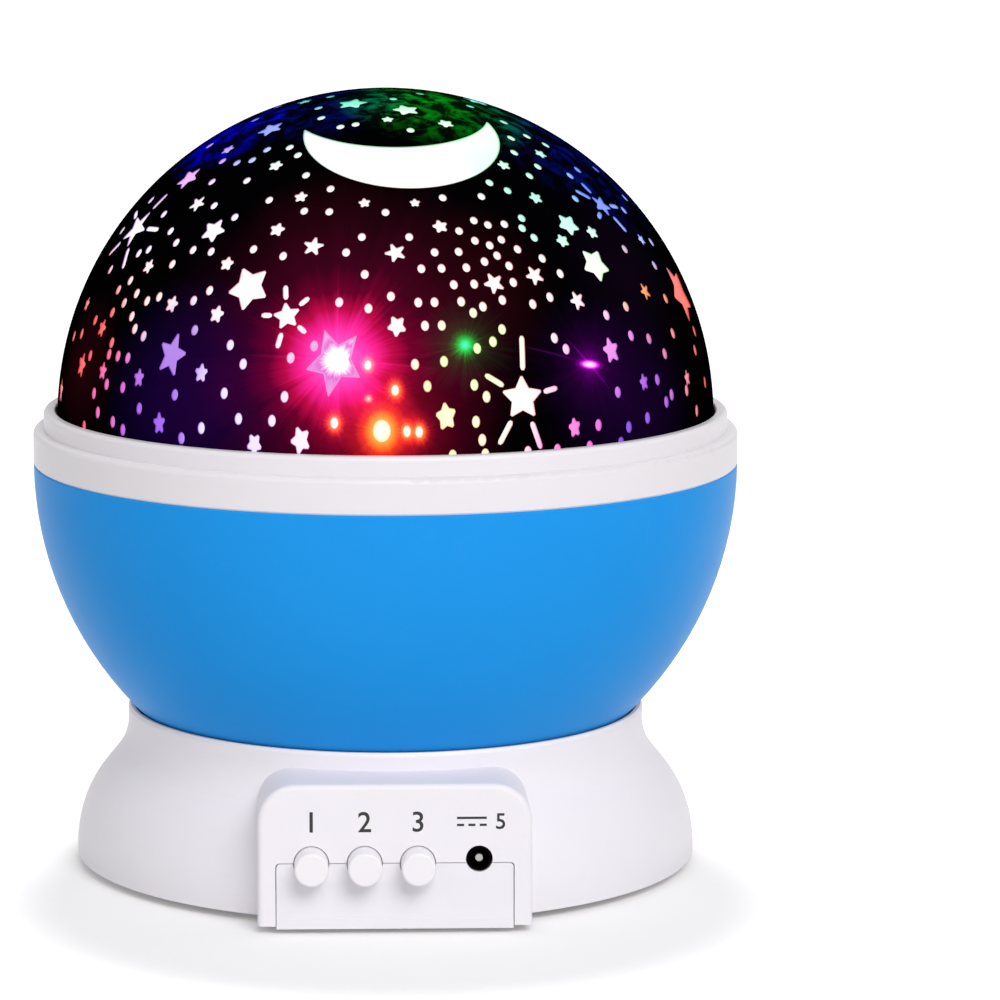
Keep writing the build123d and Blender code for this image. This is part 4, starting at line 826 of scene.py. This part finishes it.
# painted hot cores and glare of the lamps on the lit dome under its windows
cores = [
    {"place": (-8.2, 17.3), "ragged": 0.75, "count": 4.5, "fade": (3.2, 4.4),
     "rings": [(0, white), (2.0, white), (2.5, (255, 190, 240)), (3.2, (232, 100, 208)),
               (4.4, (222, 88, 200))]},
    {"place": (-0.6, 5.8), "stretch": (1, 1.2), "fade": (2.2, 3.0),
     "rings": [(0, (255, 255, 252)), (1.0, (255, 254, 226)), (1.7, (255, 240, 160))]},
]
cores += [{"place": place, "stretch": (1, 1.4), "fade": (0.8, 1.3),
           "rings": [(0, white), (0.5, (255, 252, 236)), (0.9, (255, 214, 170))]}
          for place in hotDots]


def domeOutward(tree, place):
    return vectorNode(tree, "NORMALIZE", vectorNode(tree, "SUBTRACT", place, dome["centre"]))


def buildTintField():
    # painted glow on the black skin: the lamp light that shines through it, summed as emission
    tree, given, made = startGroup("ShineThroughField", ["Place"], {}, {"Colour": "Color"})
    outward = domeOutward(tree, given.outputs["Place"])
    mottled = mapRange(tree, noise(tree, outward, 15.0, 5.0, 0.6, 0.5), (0.48, 0.66), (0.03, 1.0))
    total = None
    for turn, up, reach, fall, glowColour in shineThroughGlows:
        near = vectorNode(tree, "DOT_PRODUCT", outward, outwardAt(turn, up))
        strength = mathNode(tree, "POWER", mapRange(tree, near, (cos(radians(reach)), 1.0)), fall)
        if up > mottledFrom:
            strength = mathNode(tree, "MULTIPLY", strength, mottled)
        light = vectorNode(tree, "SCALE", Vector(colour(*glowColour)[:3]), scale=strength)
        total = light if total is None else vectorNode(tree, "ADD", total, light)
    plug(tree, made, Colour=total)
    return tree


def buildLampReach():
    # millimetres from a lamp's middle along the dome, its edge ragged like light in a lens
    tree, given, made = startGroup("LampReach", ["Place", "Middle", "Sideways", "Poleward"],
                                   {"Ragged": 0.0, "Count": 6.0}, {"Reach": "Float"})
    outward = domeOutward(tree, given.outputs["Place"])
    across, along = [mathNode(tree, "MULTIPLY", vectorNode(tree, "DOT_PRODUCT", outward, given.outputs[label]),
                              dome["radius"] / millimetre) for label in ("Sideways", "Poleward")]
    flat = put(tree, "ShaderNodeCombineXYZ", X=across, Y=along).outputs["Vector"]
    streak = noise(tree, vectorNode(tree, "NORMALIZE", flat), given.outputs["Count"], 4.0, 0.75)
    bent = mathNode(tree, "MULTIPLY", mathNode(tree, "SUBTRACT", 0.5, streak),
                    mathNode(tree, "MULTIPLY", given.outputs["Ragged"], 2.0))
    reach = mathNode(tree, "MULTIPLY", vectorNode(tree, "LENGTH", flat), mathNode(tree, "ADD", bent, 1.0))
    facing = vectorNode(tree, "DOT_PRODUCT", outward, given.outputs["Middle"])
    # the far half of the dome lies beyond every lamp's reach
    behind = mathNode(tree, "MULTIPLY", mathNode(tree, "LESS_THAN", facing, 0.0), 1000.0)
    plug(tree, made, Reach=mathNode(tree, "ADD", reach, behind))
    return tree


shineThroughField = buildTintField()
lampReach = buildLampReach()


def lampLight(tree, place, lamp, side):
    # rings of colour by the distance from a lamp's middle
    turn, up = lamp["place"]
    middle, sideways, poleward = axesAt(turn + side, up)
    tilt = radians(lamp.get("tilt", 0))
    wide, tall = lamp.get("stretch", (1, 1))
    reach = putGroup(tree, lampReach, Place=place, Middle=middle,
                     Sideways=(sideways * cos(tilt) + poleward * sin(tilt)) / wide,
                     Poleward=(poleward * cos(tilt) - sideways * sin(tilt)) / tall,
                     Ragged=lamp.get("ragged", 0.0), Count=lamp.get("count", 6.0))["Reach"]
    rings = lamp["rings"]
    last = rings[-1][0]
    ramp = put(tree, "ShaderNodeValToRGB", Fac=mathNode(tree, "DIVIDE", reach, last))
    steps = ramp.color_ramp.elements
    while len(steps) < len(rings):
        steps.new(0.5)
    for step, (distance, glowColour) in zip(steps, rings):
        step.position = distance / last
        step.color = colour(*glowColour)
    return reach, ramp.outputs["Color"]


def finishSkinBlack():
    tree, shader, place = openMaterial(skinBlack)
    # the black skin's emission is painted light: lamp light through it and glare round the lamps
    glow = putGroup(tree, shineThroughField, Place=place)["Colour"]
    for lamp in lamps:
        for side in dome["sides"]:
            glow = vectorNode(tree, "ADD", glow, lampLight(tree, place, lamp, side)[1])
    tone = putGroup(tree, mouldedGrain, Place=place, Grain=900.0)["Tone"]
    plug(tree, shader, Emission_Color=glow, Emission_Strength=1.0, Specular_IOR_Level=0.0,
         Base_Color=mixColours(tree, tone, (0.0004, 0.0003, 0.0006, 1), (0.0009, 0.0007, 0.0012, 1)),
         Roughness=sloped(tree, tone, 0.1, 0.2))


def finishBevel():
    tree, shader, place = openMaterial(windowBevel)
    tone = putGroup(tree, mouldedGrain, Place=place, Grain=900.0)["Tone"]
    # the black skin's window edges glow with a painted fringe
    plug(tree, shader, Emission_Color=attributeColour(tree, "bevelGlow"), Emission_Strength=1.0,
         Base_Color=mixColours(tree, tone, (0.01, 0.01, 0.012, 1), (0.02, 0.02, 0.024, 1)),
         Roughness=0.5, Specular_IOR_Level=0.1)


finishSkinBlack()
finishBevel()
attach(starSkin, "head")
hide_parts("star_skin")

# clear dome under the skin, lit by the lamps
clearDome = shellOfRevolution("clearDome", dome["clearRadius"], dome["clearWall"], domeLow.z,
                              dome["clearSegments"], dome["clearRings"])
clearDome.data.name = "clearDome"
for face in clearDome.data.polygons:
    face.use_smooth = True
paintGlow(clearDome, "windowGlow")


def litPlastic():
    material, tree, shader, place = startMaterial("domeLit")
    tone = putGroup(tree, mouldedGrain, Place=place, Grain=1400.0)["Tone"]
    light = attributeColour(tree, "windowGlow")
    # painted hot cores over the windows' glow
    for core in cores:
        for side in dome["sides"]:
            reach, rings = lampLight(tree, place, core, side)
            fade = mapRange(tree, reach, core["fade"], (1.0, 0.0), "SMOOTHSTEP")
            light = mixColours(tree, fade, light, rings)
    plug(tree, shader, Emission_Color=light, Emission_Strength=1.0, Specular_IOR_Level=0.05,
         Base_Color=mixColours(tree, tone, (0.04, 0.04, 0.046, 1), (0.05, 0.05, 0.056, 1)),
         Roughness=sloped(tree, tone, 0.1, 0.35))
    return material


clearDome.data.materials.append(litPlastic())
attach(clearDome, "head")
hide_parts("star_dome")
print("dome made")

# figures and the direct current sign printed on the panel
panelPrint = {
    "ink": 0.02,               # thickness, millimetres
    "figureHeight": 3.6,
    "figureRow": 19.8,         # middle of the figures above the floor
    "textShare": 0.7,          # a figure's height over its text size, about
    "lean": 3.9,               # degrees, the panel's face
    "faceHalf": 0.02,          # metres, the face is looked for this far from the middle
    "faceFoot": 0.01,          # metres, and above this
    "lineWidth": 0.42,
    "lineBevel": 0.006,
    "signPlace": 13.4,
    "signWidth": 5.2,
    "dashes": 4.2,             # the whole line's length over a dash's
    "signRow": 0.62,           # the line above the middle, the dashes below it
    "ratingPlace": 18.4,
    "ratingHeight": 2.8,
    "bolder": 0.045,
}


def panelSkin(height):
    # Y of the panel's leaning face at a height, taken from the face's own mesh
    best = None
    for vertex in nodes["base_shell"].data.vertices:
        if abs(vertex.co.x) < panelPrint["faceHalf"] and vertex.co.z > panelPrint["faceFoot"]:
            if best is None or vertex.co.y < best.y:
                best = vertex.co
    return best.y + (height - best.z) * sin(radians(panelPrint["lean"])) / cos(radians(panelPrint["lean"]))


def layOnPanel(piece, across, height):
    # from flat on XY to standing on the leaning face
    y = panelSkin(height * millimetre)
    piece.matrix_world = (Matrix.Translation((across * millimetre, y, height * millimetre))
                          @ Matrix.Rotation(radians(90 - panelPrint["lean"]), 4, "X"))
    settle(piece)


def inkPrint():
    material, tree, shader, place = startMaterial("printInk")
    grain = putGroup(tree, mouldedGrain, Place=place, Grain=3000.0)
    plug(tree, shader, Base_Color=mixColours(tree, grain["Tone"], colour(14, 14, 16), colour(26, 26, 28)),
         Roughness=sloped(tree, grain["Height"], 0.1, 0.4))
    return material


inkBlack = inkPrint()


def printFigure(name, text, across, height, size):
    deselectAll()
    bpy.ops.object.text_add()
    piece = bpy.context.object
    piece.name = name
    piece.data.body = text
    piece.data.size = size * millimetre / panelPrint["textShare"]
    piece.data.extrude = panelPrint["ink"] * millimetre / 2
    piece.data.resolution_u = 6
    piece.data.offset = panelPrint["bolder"] * millimetre
    bpy.ops.object.convert(target="MESH")
    points = [vertex.co.copy() for vertex in piece.data.vertices]
    low = Vector((min(p.x for p in points), min(p.y for p in points), 0))
    high = Vector((max(p.x for p in points), max(p.y for p in points), 0))
    stretch = size * millimetre / (high.y - low.y)
    middle = (low + high) / 2
    for vertex in piece.data.vertices:
        vertex.co.x = (vertex.co.x - middle.x) * stretch
        vertex.co.y = (vertex.co.y - middle.y) * stretch
    editWhole(piece)
    bpy.ops.mesh.remove_doubles(threshold=0.0005 * millimetre)
    leaveOutward()
    layOnPanel(piece, across, height)
    piece.data.materials.append(inkBlack)
    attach(piece, "base")


for number in (1, 2, 3):
    low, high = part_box("button_%d" % number)
    printFigure("figure%d" % number, str(number), (low.x + high.x) / 2 / millimetre, panelPrint["figureRow"],
                panelPrint["figureHeight"])
printFigure("ratingFigure", "5", panelPrint["ratingPlace"], panelPrint["figureRow"], panelPrint["ratingHeight"])


def currentSign():
    # a whole line over three dashes
    bars = []
    width, row = panelPrint["signWidth"], panelPrint["signRow"]
    dash = width / panelPrint["dashes"]
    side = (width - dash) / 2
    for offset, length, height in ((0, width, row), (-side, dash, -row), (0, dash, -row), (side, dash, -row)):
        deselectAll()
        bpy.ops.mesh.primitive_cube_add(size=1, location=(offset * millimetre, height * millimetre, 0))
        bar = bpy.context.object
        bar.scale = (length * millimetre, panelPrint["lineWidth"] * millimetre, panelPrint["ink"] * millimetre)
        settle(bar)
        editWhole(bar)
        bpy.ops.mesh.bevel(offset=panelPrint["lineBevel"] * millimetre, segments=1)
        bpy.ops.object.mode_set(mode="OBJECT")
        bars.append(bar)
    sign = joinAll(bars, "currentSign")
    layOnPanel(sign, panelPrint["signPlace"], panelPrint["figureRow"])
    sign.data.materials.append(inkBlack)
    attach(sign, "base")


currentSign()
print("panel printed")

studio = {
    "floorSize": 12.0,
    "floorTone": (0.85, 0.838, 0.83, 1),
    "lift": (0.16, 0.75),      # own light of the floor that the camera sees, by the lamp and further off; the lower value by the lamp is a painted shadow
    "shadowMiddle": (0.0, -0.035, 0.0),
    "shadowReach": (0.058, 0.085),
    "cameraDistance": 0.8122,
    "cameraHeight": 0.1996,
    "cameraTurn": -1.6,
    "cameraPitch": 9.28,
    "lens": 159.65,
    "shift": 0.1145,
    "worldLevel": 0.45,
    # name, place, size, watts
    "softboxes": [("keySoftbox", (0.5, -1.6, 1.35), (1.3, 1.0), 27.0),
                  ("fillSoftbox", (-1.2, -1.4, 0.9), (1.0, 1.0), 2.0)],
    "aim": (0, 0, 0.07),       # where the softboxes point
}


def seenByEye(tree):
    # 1 for rays from the camera, a mirror or through glass
    rays = tree.nodes.new("ShaderNodeLightPath")
    seen = mathNode(tree, "ADD", rays.outputs["Is Camera Ray"], rays.outputs["Is Glossy Ray"])
    return mathNode(tree, "ADD", seen, rays.outputs["Is Transmission Ray"], clamp=True)


def buildFloor():
    deselectAll()
    bpy.ops.mesh.primitive_plane_add(size=studio["floorSize"])
    floor = bpy.context.object
    floor.name = "studioFloor"
    material, tree, shader, place = startMaterial("floorPale")
    plug(tree, shader, Base_Color=studio["floorTone"], Roughness=0.9, Specular_IOR_Level=0.0)
    # painted shadow: the floor's own light is lower near the lamp, so the floor is darker round its foot
    reach = vectorNode(tree, "LENGTH", vectorNode(tree, "SUBTRACT", place, studio["shadowMiddle"]))
    lift = mapRange(tree, reach, studio["shadowReach"], studio["lift"], "SMOOTHSTEP")
    glow = put(tree, "ShaderNodeEmission", Strength=mathNode(tree, "MULTIPLY", seenByEye(tree), lift))
    both = tree.nodes.new("ShaderNodeAddShader")
    tree.links.new(shader.outputs[0], both.inputs[0])
    tree.links.new(glow.outputs[0], both.inputs[1])
    tree.links.new(both.outputs[0], tree.nodes["Material Output"].inputs["Surface"])
    floor.data.materials.append(material)


def buildWorld():
    world = bpy.data.worlds.new("studioWorld")
    bpy.context.scene.world = world
    world.use_nodes = True
    tree = world.node_tree
    level = studio["worldLevel"]
    fill(tree, tree.nodes["Background"], "Color", mixColours(tree, seenByEye(tree), (level, level, level, 1),
                                                            (1, 1, 1, 1)))


def softbox(name, place, size, power):
    data = bpy.data.lights.new(name, "AREA")
    data.shape = "RECTANGLE"
    data.size, data.size_y = size
    data.energy = power
    lamp = bpy.data.objects.new(name, data)
    bpy.context.scene.collection.objects.link(lamp)
    lamp.location = place
    lamp.rotation_euler = (Vector(studio["aim"]) - Vector(place)).to_track_quat("-Z", "Y").to_euler()


def buildCamera():
    data = bpy.data.cameras.new("studioCamera")
    camera = bpy.data.objects.new("studioCamera", data)
    bpy.context.scene.collection.objects.link(camera)
    turn = radians(studio["cameraTurn"])
    camera.location = (studio["cameraDistance"] * sin(turn), -studio["cameraDistance"] * cos(turn),
                       studio["cameraHeight"])
    camera.rotation_euler = (radians(90 - studio["cameraPitch"]), 0, turn)
    data.sensor_width = 36
    data.lens = studio["lens"]
    data.shift_x = studio["shift"]
    data.clip_start, data.clip_end = 0.01, 50
    bpy.context.scene.camera = camera


buildFloor()
buildWorld()
for box in studio["softboxes"]:
    softbox(*box)
buildCamera()
bpy.context.scene.view_settings.view_transform = "Standard"
print("studio ready")
